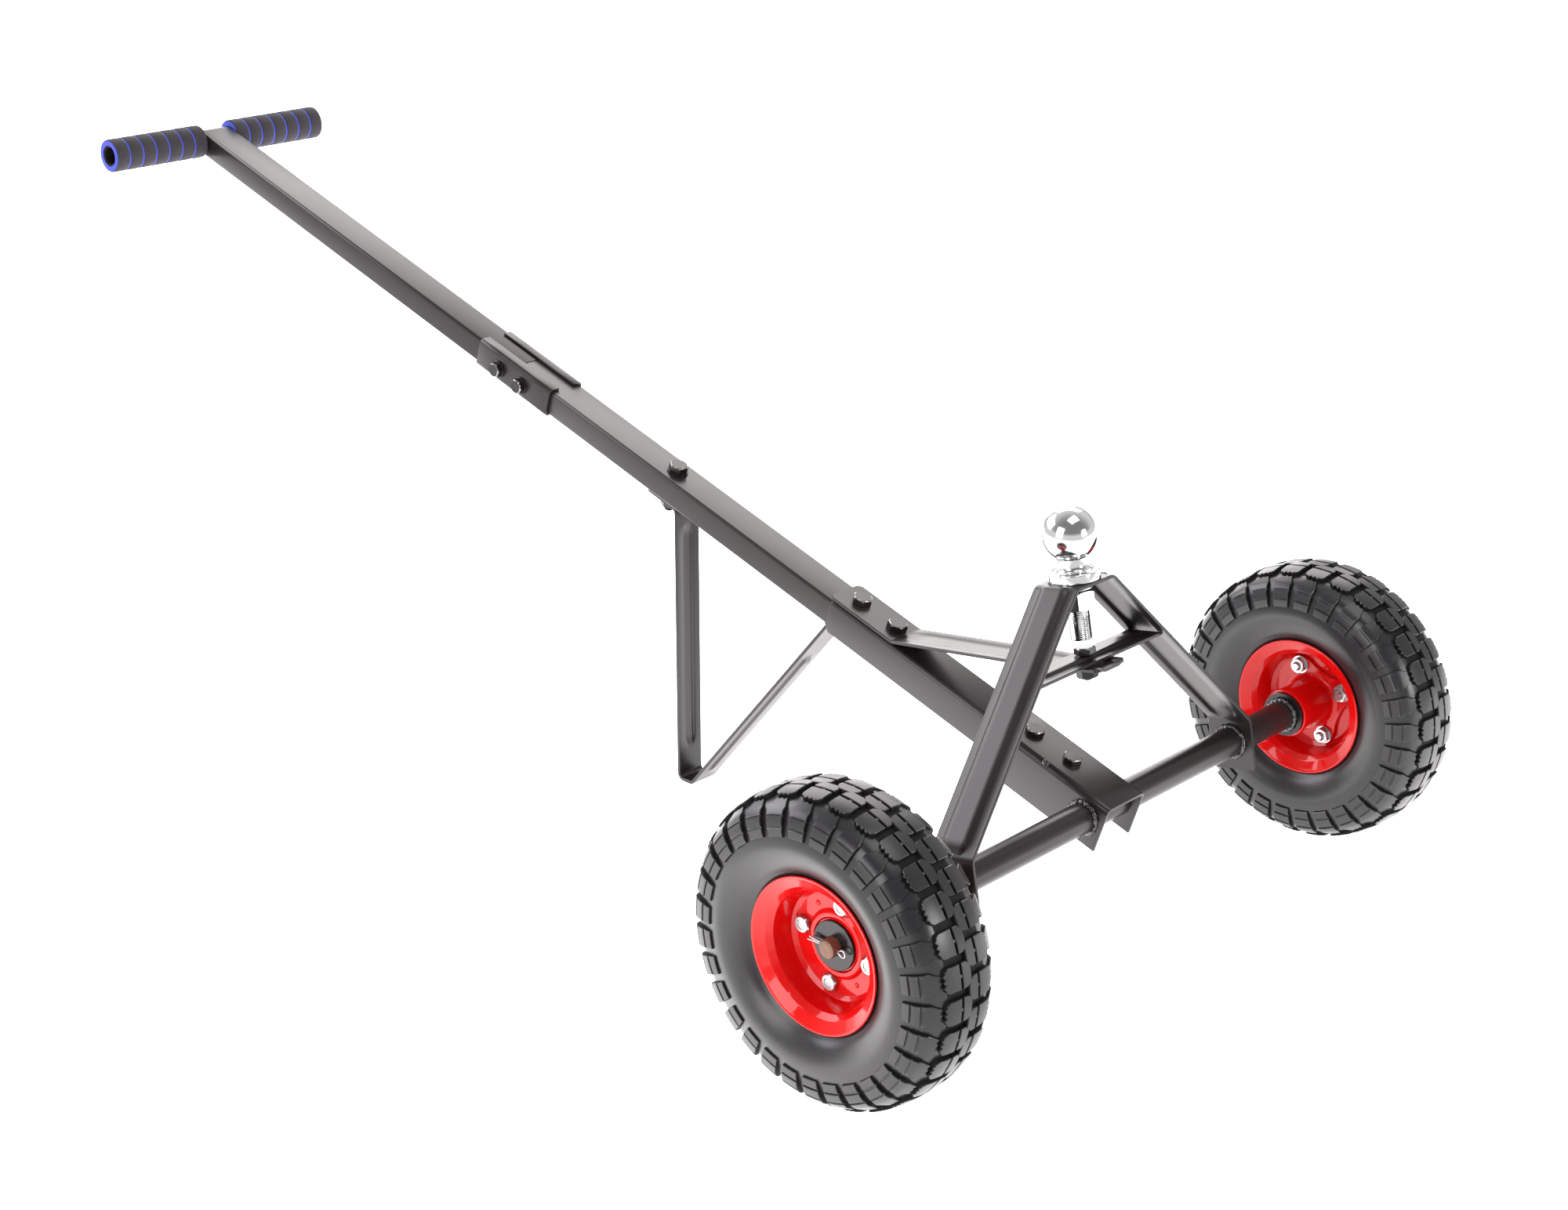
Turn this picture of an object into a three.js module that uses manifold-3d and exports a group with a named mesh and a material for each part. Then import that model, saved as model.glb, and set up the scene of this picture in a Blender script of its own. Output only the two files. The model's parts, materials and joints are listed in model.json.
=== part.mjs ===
// Hand trailer dolly: two wheels on a tube axle, an A-frame that carries a hitch ball,
// a two-piece tube handle with a T grip, and a V-shaped prop stand.
// Millimetres, +Z up. X runs along the axle, +Y runs back towards the handle grips.
// The origin is on the ground, in the middle of the footprint.
import * as THREE from 'three';
import { mergeVertices } from 'three/addons/utils/BufferGeometryUtils.js';
import Module from 'manifold-3d';

const wasm = await Module();
wasm.setup();

// ---- Driving dimensions -------------------------------------------------------------------
const GAP = 0.3;                 // clearance between touching pieces
const TYRE_RADIUS = 130;
const TRACK = 659;               // between the wheels' middle planes
const HANDLE_TILT = THREE.MathUtils.degToRad(17.7);
const FRAME_LEAN = THREE.MathUtils.degToRad(11.5);

const AXLE_RADIUS = 13.4;
const AXLE_BORE = 10.9;
const AXLE_HALF = 273.8;
const STUB_RADIUS = 7.95;
const STUB_END = 345.7;

const TUBE_WIDTH = 38;
const TUBE_HEIGHT = 25;
const TUBE_WALL = 1.2;
const TUBE_RISE = 6;             // tube centre above the axle centre, square to the handle
const TUBE_START = 16;
const TUBE_JOINT = 757.5;
const TUBE_END = 1288;
const TUBE_TOP = TUBE_RISE + TUBE_HEIGHT / 2;
const TUBE_BOTTOM = TUBE_RISE - TUBE_HEIGHT / 2;

const CHANNEL = { wall: 1.8, from: 112, to: 314, bottom: -10.6, bend: 3.5 };
const BRACKET = { wall: 3, half: 26, from: -20, to: 107, bottom: -23, bend: 5 };
const SLEEVE = { wall: 2, from: 703.5, to: 810, lipLeft: -9, lipRight: 10, bend: 3 };
const CHANNEL_TOP = TUBE_TOP + GAP + CHANNEL.wall;
const BRACKET_TOP = TUBE_TOP + GAP + BRACKET.wall;

const BAR = 3;                   // thickness of the flat bars of the frame
const FRAME_WIDTH = 45.4;
const SEAT_HEIGHT = 199.9;       // top of the ball seat above the axle, along the frame
const SEAT_HALF = 24.4;
const TAB_X = 193.2;
const TAB_TOP = 21.3;
const TAB_BOTTOM = -26;
const CROSS_HEIGHT = 131.2;
const CROSS_RIB = 3.5;
const CROSS_HALF = 17.5;
const BRACE_WIDTH = 40;
const BRACE_END = 317;
const BRACE_BEND = 240;
const STAND_BAR = 4;
const STAND_WIDTH = 30;

const BALL_RADIUS = 23.8;
const BALL_HEIGHT = 239;
const BALL_FLAT = 8;
const BALL_NECK = 12.8;
const BALL_FLANGE = 22.2;
const SHANK_RADIUS = 9.4;
const SHANK_END = 149;

const T_CENTRE = 1290;
const T_RADIUS = 10.9;
const T_HALF = 131;
const GRIP_RADIUS = 17.4;
const GRIP_START = 20;
const GRIP_END = 133;

const RIM_SHEET = 2.2;
const HUB_RADIUS = 22;
const HUB_IN = -52;
const HUB_OUT = 4.5;
const BEARING_RADIUS = 17.3;
const BEARING_WIDTH = 11;
const WHEEL_BOLT_CIRCLE = 34.5;
const BOLT_PHASE = { left: THREE.MathUtils.degToRad(81), right: THREE.MathUtils.degToRad(63.6) };
const WASHER_RADIUS = 20.5;

const M10 = { shank: 4.8, head: 9.4, headHeight: 6.4, nutHeight: 8 };
const M8 = { shank: 3.8, head: 7.6, headHeight: 5.3, nutHeight: 6.5 };
const BOLT_END = { strap: -24, bracket: -17, stand: -24, splice: -31, cross: 114, wheel: -15 };

// ---- Materials ----------------------------------------------------------------------------
const paint = (color, roughness, metalness) =>
  new THREE.MeshStandardMaterial({ color, roughness, metalness });
const LOOKS = {
  frame: [0x2b2a2c, 0.45, 0.5],
  bolt: [0x1b1a1a, 0.4, 0.8],
  zinc: [0xc9ccd0, 0.3, 0.9],
  chrome: [0xe6e8ea, 0.08, 1.0],
  red: [0xd8141c, 0.2, 0.1],
  rubber: [0x26262a, 0.8, 0.0],
  foam: [0x1b1a20, 0.95, 0.0],
  bearing: [0xb9bcc0, 0.25, 0.9],
  bare: [0x8a7464, 0.5, 0.7],
};

// ---- Shape helpers ------------------------------------------------------------------------
const V2 = (x, y) => new THREE.Vector2(x, y);

// Rounds each inner corner of a polyline with an arc of the given radius.
function roundedPath(points, radius, steps = 3) {
  const path = [points[0]];
  for (let i = 1; i < points.length - 1; i++) {
    const corner = points[i];
    const back = points[i - 1].clone().sub(corner).normalize();
    const ahead = points[i + 1].clone().sub(corner).normalize();
    const half = Math.acos(THREE.MathUtils.clamp(back.dot(ahead), -1, 1)) / 2;
    const reach = radius / Math.tan(half);
    const centre = corner.clone().add(back.clone().add(ahead).setLength(radius / Math.sin(half)));
    const start = corner.clone().addScaledVector(back, reach).sub(centre);
    const turn = Math.sign(back.cross(ahead)) * (Math.PI - 2 * half);
    for (let k = 0; k <= steps; k++) {
      path.push(start.clone().rotateAround(V2(0, 0), -turn * k / steps).add(centre));
    }
  }
  path.push(points.at(-1));
  return path;
}

// Outline of a strip of even thickness that follows a path.
function ribbon(path, thickness) {
  const left = [];
  const right = [];
  path.forEach((point, i) => {
    const a = path[Math.max(i - 1, 0)];
    const b = path[Math.min(i + 1, path.length - 1)];
    const before = point.clone().sub(a).normalize();
    const after = b.clone().sub(point).normalize();
    const along = before.add(after).normalize();
    const side = V2(-along.y, along.x);
    const direction = i ? point.clone().sub(a).normalize() : along;
    const stretch = 1 / Math.max(direction.dot(along), 0.5);
    left.push(point.clone().addScaledVector(side, stretch * thickness / 2));
    right.push(point.clone().addScaledVector(side, -stretch * thickness / 2));
  });
  return [...left, ...right.reverse()];
}

function roundedRect(width, height, radius, centreY) {
  const shape = new THREE.Shape();
  const x = width / 2;
  const y = height / 2;
  shape.absarc(x - radius, centreY + y - radius, radius, 0, Math.PI / 2);
  shape.absarc(-x + radius, centreY + y - radius, radius, Math.PI / 2, Math.PI);
  shape.absarc(-x + radius, centreY - y + radius, radius, Math.PI, 1.5 * Math.PI);
  shape.absarc(x - radius, centreY - y + radius, radius, 1.5 * Math.PI, 2 * Math.PI);
  shape.closePath();
  return shape;
}

// Extrudes an (x, z) outline along Y.
function alongY(shape, from, to) {
  const depth = to - from;
  const geometry = new THREE.ExtrudeGeometry(shape, { depth, bevelEnabled: false, curveSegments: 2 });
  return geometry.rotateX(Math.PI / 2).translate(0, to, 0);
}

// Extrudes a (y, z) outline along X, centred on x = 0.
function alongX(shape, width) {
  const geometry = new THREE.ExtrudeGeometry(shape, { depth: width, bevelEnabled: false });
  const turn = new THREE.Matrix4().makeBasis(
    new THREE.Vector3(0, 1, 0), new THREE.Vector3(0, 0, 1), new THREE.Vector3(1, 0, 0));
  return geometry.translate(0, 0, -width / 2).applyMatrix4(turn);
}

const strip = (points, radius, thickness) =>
  new THREE.Shape(ribbon(roundedPath(points, radius), thickness));

// Turns an (r, height) profile about the Z axis.
function turnZ(profile, segments, start = 0) {
  const points = profile.map(([r, z]) => V2(r, z));
  return new THREE.LatheGeometry(points, segments, start).rotateX(Math.PI / 2);
}

// Turns an (r, x) profile about the X axis.
function turnX(profile, segments, start = 0) {
  const points = profile.map(([r, x]) => V2(r, x));
  return new THREE.LatheGeometry(points, segments, start).rotateZ(-Math.PI / 2);
}

function ring(inner, outer, from, to) {
  return [[inner, from], [outer, from], [outer, to], [inner, to], [inner, from]];
}

function rod(radius, from, to) {
  return [[0, from], [radius, from], [radius, to], [0, to]];
}

// ---- Booleans -----------------------------------------------------------------------------
function toSolid(geometry) {
  const bare = geometry.clone();
  bare.deleteAttribute('normal');
  bare.deleteAttribute('uv');
  const merged = mergeVertices(bare, 1e-4);
  return new wasm.Manifold(new wasm.Mesh({
    numProp: 3,
    vertProperties: new Float32Array(merged.attributes.position.array),
    triVerts: new Uint32Array(merged.index.array),
  }));
}

function toGeometry(solid) {
  const mesh = solid.getMesh();
  const geometry = new THREE.BufferGeometry();
  geometry.setAttribute('position', new THREE.BufferAttribute(mesh.vertProperties, 3));
  geometry.setIndex(new THREE.BufferAttribute(mesh.triVerts, 1));
  return geometry;
}

const cut = (geometry, ...tools) =>
  toGeometry(tools.reduce((solid, tool) => solid.subtract(toSolid(tool)), toSolid(geometry)));
const join = (geometry, ...others) =>
  toGeometry(others.reduce((solid, other) => solid.add(toSolid(other)), toSolid(geometry)));

// ---- Scene helpers ------------------------------------------------------------------------
const base = new THREE.Group();
const handle = new THREE.Group();
const frame = new THREE.Group();
handle.position.z = TYRE_RADIUS;
handle.rotation.x = HANDLE_TILT;
frame.position.z = TYRE_RADIUS;
frame.rotation.x = -FRAME_LEAN;
base.add(handle, frame);

function place(parent, name, look, geometry) {
  const mesh = new THREE.Mesh(geometry, paint(...LOOKS[look]));
  mesh.name = name;
  parent.add(mesh);
  return mesh;
}

// A point of the base frame's (y, z) plane, in the handle's own (y, z).
function inHandle(y, z) {
  return V2(y, z - TYRE_RADIUS).rotateAround(V2(0, 0), -HANDLE_TILT);
}

// A point of the A-frame's own (y, z) plane, in the handle's (y, z).
function frameInHandle(y, z) {
  return V2(y, z).rotateAround(V2(0, 0), -FRAME_LEAN - HANDLE_TILT);
}

// ---- Fasteners ----------------------------------------------------------------------------
// A hex bolt along Z with its head resting on `seat` and its end at `end`.
function hexBolt(size, seat, end, washer = 0) {
  const under = seat + GAP + (washer ? 2 : 0);
  const head = new THREE.CylinderGeometry(size.head, size.head, size.headHeight, 6);
  head.rotateX(Math.PI / 2).translate(0, 0, under + size.headHeight / 2);
  const overlap = 0.5;
  const pieces = [turnZ(rod(size.shank, end, under + overlap), 10)];
  if (washer) pieces.push(turnZ(rod(washer, seat + GAP, under + overlap), 16));
  return join(head, ...pieces);
}

// A hex nut along Z whose upper face is at `top`.
function hexNut(size, top, radius = size.head, bore = size.shank + GAP) {
  const nut = new THREE.CylinderGeometry(radius, radius, size.nutHeight, 6);
  nut.rotateX(Math.PI / 2).translate(0, 0, top - size.nutHeight / 2);
  const hole = turnZ(rod(bore, top - size.nutHeight - 1, top + 1), 16);
  return cut(nut, hole);
}

const holeZ = (x, y, radius, from = -60, to = 60) =>
  turnZ(rod(radius, from, to), 10).translate(x, y, 0);
const holeX = (y, z, radius, half = 60) =>
  turnX(rod(radius, -half, half), 10).translate(0, y, z);

// ---- Axle ---------------------------------------------------------------------------------
function addAxle() {
  const tube = turnX(ring(AXLE_BORE, AXLE_RADIUS, -AXLE_HALF, AXLE_HALF), 24);
  place(base, 'axle_tube', 'frame', tube).position.z = TYRE_RADIUS;
}

// ---- Handle tubes, channel, bracket and splice ----------------------------------------------
const STRAP_BOLTS = [296, 252];
const BRACKET_BOLTS = [85.3, 42];
const SPLICE_BOLTS = [777.7, 743.8];
const SPLICE_BOLT_RISE = 4;
const STAND_BOLT = 541;
const M10_HOLE = M10.shank + GAP + 0.2;
const M8_HOLE = M8.shank + GAP + 0.2;

function tubeSection() {
  const section = roundedRect(TUBE_WIDTH, TUBE_HEIGHT, 3, TUBE_RISE);
  section.holes.push(roundedRect(TUBE_WIDTH - 2 * TUBE_WALL, TUBE_HEIGHT - 2 * TUBE_WALL, 1.8, TUBE_RISE));
  return section;
}

function addHandleTubes() {
  const lower = alongY(tubeSection(), TUBE_START, TUBE_JOINT - GAP);
  const upper = alongY(tubeSection(), TUBE_JOINT + GAP, TUBE_END);
  const lowerHoles = [
    ...STRAP_BOLTS.map((y) => holeZ(0, y, M10_HOLE)),
    ...BRACKET_BOLTS.map((y) => holeZ(0, y, M8_HOLE)),
    holeZ(0, STAND_BOLT, M10_HOLE),
    holeX(SPLICE_BOLTS[1], SPLICE_BOLT_RISE, M8_HOLE),
  ];
  const upperHoles = [
    holeX(SPLICE_BOLTS[0], SPLICE_BOLT_RISE, M8_HOLE),
    turnX(rod(T_RADIUS + GAP, -60, 60), 24).translate(0, T_CENTRE, TUBE_RISE),
  ];
  place(handle, 'lower_handle_tube', 'frame', cut(lower, ...lowerHoles));
  place(handle, 'upper_handle_tube', 'frame', cut(upper, ...upperHoles));
}

// An upside-down U: a web on top and two side walls down to `bottom`.
function invertedU(half, top, bottom, wall, bend) {
  const x = half - wall / 2;
  const z = top - wall / 2;
  return strip([V2(-x, bottom), V2(-x, z), V2(x, z), V2(x, bottom)], bend, wall);
}

function addChannel() {
  const half = TUBE_WIDTH / 2 + GAP + CHANNEL.wall;
  const section = invertedU(half, CHANNEL_TOP, CHANNEL.bottom, CHANNEL.wall, CHANNEL.bend);
  const body = alongY(section, CHANNEL.from, CHANNEL.to);
  place(handle, 'lower_channel', 'frame', cut(body, ...STRAP_BOLTS.map((y) => holeZ(0, y, M10_HOLE))));
}

function addBracket() {
  const section = invertedU(BRACKET.half, BRACKET_TOP, BRACKET.bottom, BRACKET.wall, BRACKET.bend);
  const body = alongY(section, BRACKET.from, BRACKET.to);
  const axle = turnX(rod(AXLE_RADIUS + GAP, -60, 60), 24);
  place(handle, 'front_bracket', 'frame',
    cut(body, axle, ...BRACKET_BOLTS.map((y) => holeZ(0, y, M8_HOLE))));
}

function addSleeve() {
  const x = TUBE_WIDTH / 2 + GAP + SLEEVE.wall / 2;
  const top = TUBE_TOP + GAP + SLEEVE.wall / 2;
  const bottom = TUBE_BOTTOM - GAP - SLEEVE.wall / 2;
  const section = strip([
    V2(SLEEVE.lipLeft, top), V2(-x, top), V2(-x, bottom),
    V2(x, bottom), V2(x, top), V2(SLEEVE.lipRight, top),
  ], SLEEVE.bend, SLEEVE.wall);
  const body = alongY(section, SLEEVE.from, SLEEVE.to);
  const holes = SPLICE_BOLTS.map((y) => holeX(y, SPLICE_BOLT_RISE, M8_HOLE));
  place(handle, 'splice_sleeve', 'frame', cut(body, ...holes));
}

// ---- Brace bar and stand ----------------------------------------------------------------------
const BRACE_LEVEL = CHANNEL_TOP + GAP + BAR / 2;
const CROSS_BOLT_Y = -2;

function addBrace() {
  const under = CROSS_HEIGHT - BAR - GAP;
  const path = [
    V2(BRACE_END, BRACE_LEVEL), V2(BRACE_BEND, BRACE_LEVEL),
    frameInHandle(30, under), frameInHandle(-29, under),
  ];
  const body = alongX(strip(path, 6, BAR), BRACE_WIDTH);
  const crossHole = holeZ(0, CROSS_BOLT_Y, M10_HOLE, 90, 160).rotateX(-FRAME_LEAN - HANDLE_TILT);
  place(handle, 'brace_bar', 'frame',
    cut(body, crossHole, ...STRAP_BOLTS.map((y) => holeZ(0, y, M10_HOLE))));
}

const STAND_LEVEL = TUBE_BOTTOM - GAP - STAND_BAR / 2;

function addStand() {
  const path = [
    V2(562, STAND_LEVEL), V2(520, STAND_LEVEL),
    inHandle(497, STAND_BAR / 2), inHandle(479.5, STAND_BAR / 2),
    V2(315, STAND_LEVEL), V2(236, STAND_LEVEL),
  ];
  const body = alongX(strip(path, 6, STAND_BAR), STAND_WIDTH);
  const holes = [STAND_BOLT, ...STRAP_BOLTS].map((y) => holeZ(0, y, M10_HOLE));
  place(handle, 'stand', 'frame', cut(body, ...holes));
}

// ---- Handle fasteners ---------------------------------------------------------------------------
function addHandleBolts() {
  const underStand = STAND_LEVEL - STAND_BAR / 2 - GAP;
  STRAP_BOLTS.forEach((y, i) => {
    const name = ['rear', 'front'][i];
    const bolt = hexBolt(M10, BRACE_LEVEL + BAR / 2, BOLT_END.strap);
    place(handle, `strap_bolt_${name}`, 'bolt', bolt).position.y = y;
    place(handle, `strap_nut_${name}`, 'bolt', hexNut(M10, underStand)).position.y = y;
  });
  BRACKET_BOLTS.forEach((y, i) => {
    const name = ['rear', 'front'][i];
    const bolt = hexBolt(M8, BRACKET_TOP, BOLT_END.bracket);
    place(handle, `bracket_bolt_${name}`, 'bolt', bolt).position.y = y;
    place(handle, `bracket_nut_${name}`, 'bolt', hexNut(M8, TUBE_BOTTOM - GAP)).position.y = y;
  });
  const standBolt = hexBolt(M10, TUBE_TOP, BOLT_END.stand, 10.2);
  place(handle, 'stand_bolt', 'bolt', standBolt).position.y = STAND_BOLT;
  place(handle, 'stand_nut', 'bolt', hexNut(M10, underStand)).position.y = STAND_BOLT;
  const wall = TUBE_WIDTH / 2 + GAP + SLEEVE.wall;
  SPLICE_BOLTS.forEach((y, i) => {
    const name = ['upper', 'lower'][i];
    const bolt = place(handle, `splice_bolt_${name}`, 'bolt', hexBolt(M8, wall, BOLT_END.splice, 8.8));
    const nut = place(handle, `splice_nut_${name}`, 'bolt', hexNut(M8, -wall - GAP));
    for (const piece of [bolt, nut]) {
      piece.rotation.y = -Math.PI / 2;
      piece.position.set(0, y, SPLICE_BOLT_RISE);
    }
  });
}

// ---- T handle and grips ----------------------------------------------------------------------
function addTHandle() {
  const bar = turnX(ring(T_RADIUS - 1.6, T_RADIUS, -T_HALF, T_HALF), 20);
  place(handle, 't_bar', 'frame', bar).position.set(0, T_CENTRE, TUBE_RISE);
  for (const [name, side] of [['left_grip', -1], ['right_grip', 1]]) {
    const grip = turnX(ring(T_RADIUS + GAP, GRIP_RADIUS, GRIP_START, GRIP_END), 24);
    const mesh = place(handle, name, 'foam', grip);
    mesh.position.set(0, T_CENTRE, TUBE_RISE);
    mesh.rotation.z = side < 0 ? Math.PI : 0;
  }
}

// ---- A-frame, crossbar and hitch ball -------------------------------------------------------
function addFrame() {
  const seat = SEAT_HEIGHT - BAR / 2;
  const path = [
    V2(-TAB_X, TAB_BOTTOM), V2(-TAB_X, TAB_TOP), V2(-SEAT_HALF, seat),
    V2(SEAT_HALF, seat), V2(TAB_X, TAB_TOP), V2(TAB_X, TAB_BOTTOM),
  ];
  const body = alongY(strip(path, 9, BAR), -FRAME_WIDTH / 2, FRAME_WIDTH / 2);
  const axle = turnX(rod(AXLE_RADIUS + GAP, -300, 300), 24);
  const shank = turnZ(rod(SHANK_RADIUS + GAP + 0.1, 180, 220), 20);
  place(frame, 'a_frame', 'frame', cut(body, axle, shank));
}

function addCrossbar() {
  const low = CROSS_HEIGHT;
  const high = CROSS_HEIGHT + CROSS_RIB;
  const section = new THREE.Shape(ribbon([
    V2(-CROSS_HALF, low), V2(-9.5, low), V2(-6.5, high),
    V2(6.5, high), V2(9.5, low), V2(CROSS_HALF, low),
  ], BAR));
  const slope = (TAB_X - SEAT_HALF) / (SEAT_HEIGHT - BAR / 2 - TAB_TOP);
  const reach = (z) => SEAT_HALF + (SEAT_HEIGHT - BAR / 2 - z) * slope - (BAR / 2 + GAP) * Math.hypot(1, slope);
  const trim = new THREE.Shape([
    V2(-reach(100), 100), V2(reach(100), 100), V2(reach(160), 160), V2(-reach(160), 160),
  ]);
  const body = toGeometry(toSolid(alongX(section, 220)).intersect(toSolid(alongY(trim, -50, 50))));
  place(frame, 'crossbar', 'frame', cut(body, holeZ(0, CROSS_BOLT_Y, M10_HOLE, 90, 160)));
  const top = high + BAR / 2;
  const under = low - BAR / 2 - GAP - BAR;
  place(frame, 'cross_bolt', 'bolt', hexBolt(M10, top, BOLT_END.cross)).position.y = CROSS_BOLT_Y;
  place(frame, 'cross_nut', 'bolt', hexNut(M10, under - GAP)).position.y = CROSS_BOLT_Y;
}

function ballProfile() {
  const seat = SEAT_HEIGHT + GAP;
  const profile = [
    [0, SHANK_END], [SHANK_RADIUS - 1.2, SHANK_END], [SHANK_RADIUS, SHANK_END + 1.2],
    [SHANK_RADIUS, seat], [BALL_FLANGE, seat], [BALL_FLANGE, seat + 6.5],
    [BALL_FLANGE - 1.5, seat + 8], [16, seat + 9.5], [BALL_NECK + 0.6, seat + 13],
  ];
  const start = Math.asin(BALL_NECK / BALL_RADIUS) - Math.PI;
  const finish = -Math.asin(BALL_FLAT / BALL_RADIUS);
  const steps = 8;
  for (let i = 0; i <= steps; i++) {
    const angle = start + (finish - start) * i / steps;
    profile.push([-BALL_RADIUS * Math.sin(angle), BALL_HEIGHT + BALL_RADIUS * Math.cos(angle)]);
  }
  profile.push([0, BALL_HEIGHT + BALL_RADIUS * Math.cos(finish)]);
  return profile;
}

function addBall() {
  const underside = SEAT_HEIGHT - BAR - GAP;
  const washerHeight = 4.7;
  place(frame, 'hitch_ball', 'chrome', turnZ(ballProfile(), 22));
  const washer = ring(SHANK_RADIUS + GAP, 15, underside - washerHeight, underside);
  place(frame, 'ball_lock_washer', 'zinc', turnZ(washer, 22));
  const nut = { nutHeight: 16.4 };
  place(frame, 'ball_nut', 'chrome',
    hexNut(nut, underside - washerHeight - GAP, 16.5, SHANK_RADIUS + GAP));
}

// ---- Wheels ---------------------------------------------------------------------------------
// Profiles are (radius, outward distance from the wheel's middle plane).
const TYRE_SEGMENTS = 28;
const RIM_SEGMENTS = 24;

function tyreProfile() {
  const crown = 1 / Math.cos(Math.PI / TYRE_SEGMENTS);
  const side = [
    [53.2, 21], [57.5, 25.2], [64.4, 28], [73, 35.8], [86, 41.2],
    [100, 42.5], [112.5, 40.4], [121.4, 35], [127.2, 26], [TYRE_RADIUS, 11],
  ].map(([r, w]) => [r * crown, w]);
  const inner = side.map(([r, w]) => [r, -w]);
  return [...inner, ...side.reverse(), inner[0]];
}

function rimProfile(side) {
  const middle = [
    V2(HUB_RADIUS + GAP + 0.3, 1.4), V2(43.6, 1.4), V2(46.6, 4.5),
    V2(50.6, 22), V2(62.6, 29.8),
  ];
  const outline = ribbon(middle, RIM_SHEET).map((p) => [p.x, p.y * side]);
  const closed = [...outline, outline[0]];
  return side > 0 ? closed.reverse() : closed;
}

function hubBody(phase) {
  const inside = 14.5;
  const seat = BEARING_RADIUS + GAP;
  const lobeRadius = 8.4;
  const tube = turnX([
    [seat, HUB_IN], [HUB_RADIUS, HUB_IN], [HUB_RADIUS, HUB_OUT], [seat, HUB_OUT],
    [seat, HUB_OUT - BEARING_WIDTH - 1], [inside, HUB_OUT - BEARING_WIDTH - 1],
    [inside, HUB_IN + BEARING_WIDTH + 1], [seat, HUB_IN + BEARING_WIDTH + 1], [seat, HUB_IN],
  ], 24);
  const flangeOut = -RIM_SHEET / 2 - 1.4 - GAP;
  const flangeIn = flangeOut - 3;
  const disc = turnX(ring(HUB_RADIUS - 1, 31, flangeIn, flangeOut), 24);
  const lobes = boltPlaces(phase).map(([y, z]) =>
    turnX(rod(lobeRadius, flangeIn, flangeOut), 12).translate(0, y, z));
  const holes = boltPlaces(phase).map(([y, z]) => holeX(y, z, M8_HOLE));
  return cut(join(tube, disc, ...lobes), ...holes);
}

function boltPlaces(phase) {
  return [0, 1, 2, 3].map((k) => {
    const angle = phase + k * Math.PI / 2;
    return [WHEEL_BOLT_CIRCLE * Math.cos(angle), WHEEL_BOLT_CIRCLE * Math.sin(angle)];
  });
}

// Head outside, nut on the hub flange inside.
function wheelBolt() {
  const headSeat = 1.4 + RIM_SHEET / 2;
  const bolt = hexBolt({ ...M8, headHeight: 4.6 }, headSeat, BOLT_END.wheel);
  const nutTop = -1.4 - RIM_SHEET / 2 - GAP - 3 - GAP;
  const nut = new THREE.CylinderGeometry(M8.head, M8.head, 6, 6);
  nut.rotateX(Math.PI / 2).translate(0, 0, nutTop - 3);
  return join(bolt, nut).rotateY(Math.PI / 2);
}

function addWheel(side) {
  const name = side < 0 ? 'left' : 'right';
  const wheel = new THREE.Group();
  wheel.position.set(side * TRACK / 2, 0, TYRE_RADIUS);
  wheel.rotation.z = side < 0 ? Math.PI : 0;
  base.add(wheel);
  const places = boltPlaces(BOLT_PHASE[name]);
  const flatDown = Math.PI / TYRE_SEGMENTS;
  place(wheel, `${name}_tyre`, 'rubber', turnX(tyreProfile(), TYRE_SEGMENTS, flatDown));
  const holes = places.map(([y, z]) => holeX(y, z, M8_HOLE));
  const rim = (face) => cut(turnX(rimProfile(face), RIM_SEGMENTS), ...holes);
  place(wheel, `${name}_outer_rim`, 'red', rim(1));
  place(wheel, `${name}_inner_rim`, 'red', rim(-1));
  place(wheel, `${name}_hub`, 'red', hubBody(BOLT_PHASE[name]));
  const race = ring(STUB_RADIUS + GAP, BEARING_RADIUS, 0, BEARING_WIDTH);
  place(wheel, `${name}_outer_bearing`, 'bearing', turnX(race, 24)).position.x = HUB_OUT - BEARING_WIDTH;
  place(wheel, `${name}_inner_bearing`, 'bearing', turnX(race, 24)).position.x = HUB_IN;
  places.forEach(([y, z], i) => {
    place(wheel, `${name}_wheel_bolt_${i + 1}`, 'zinc', wheelBolt()).position.set(0, y, z);
  });
  addAxleEnd(wheel, name);
}

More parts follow.
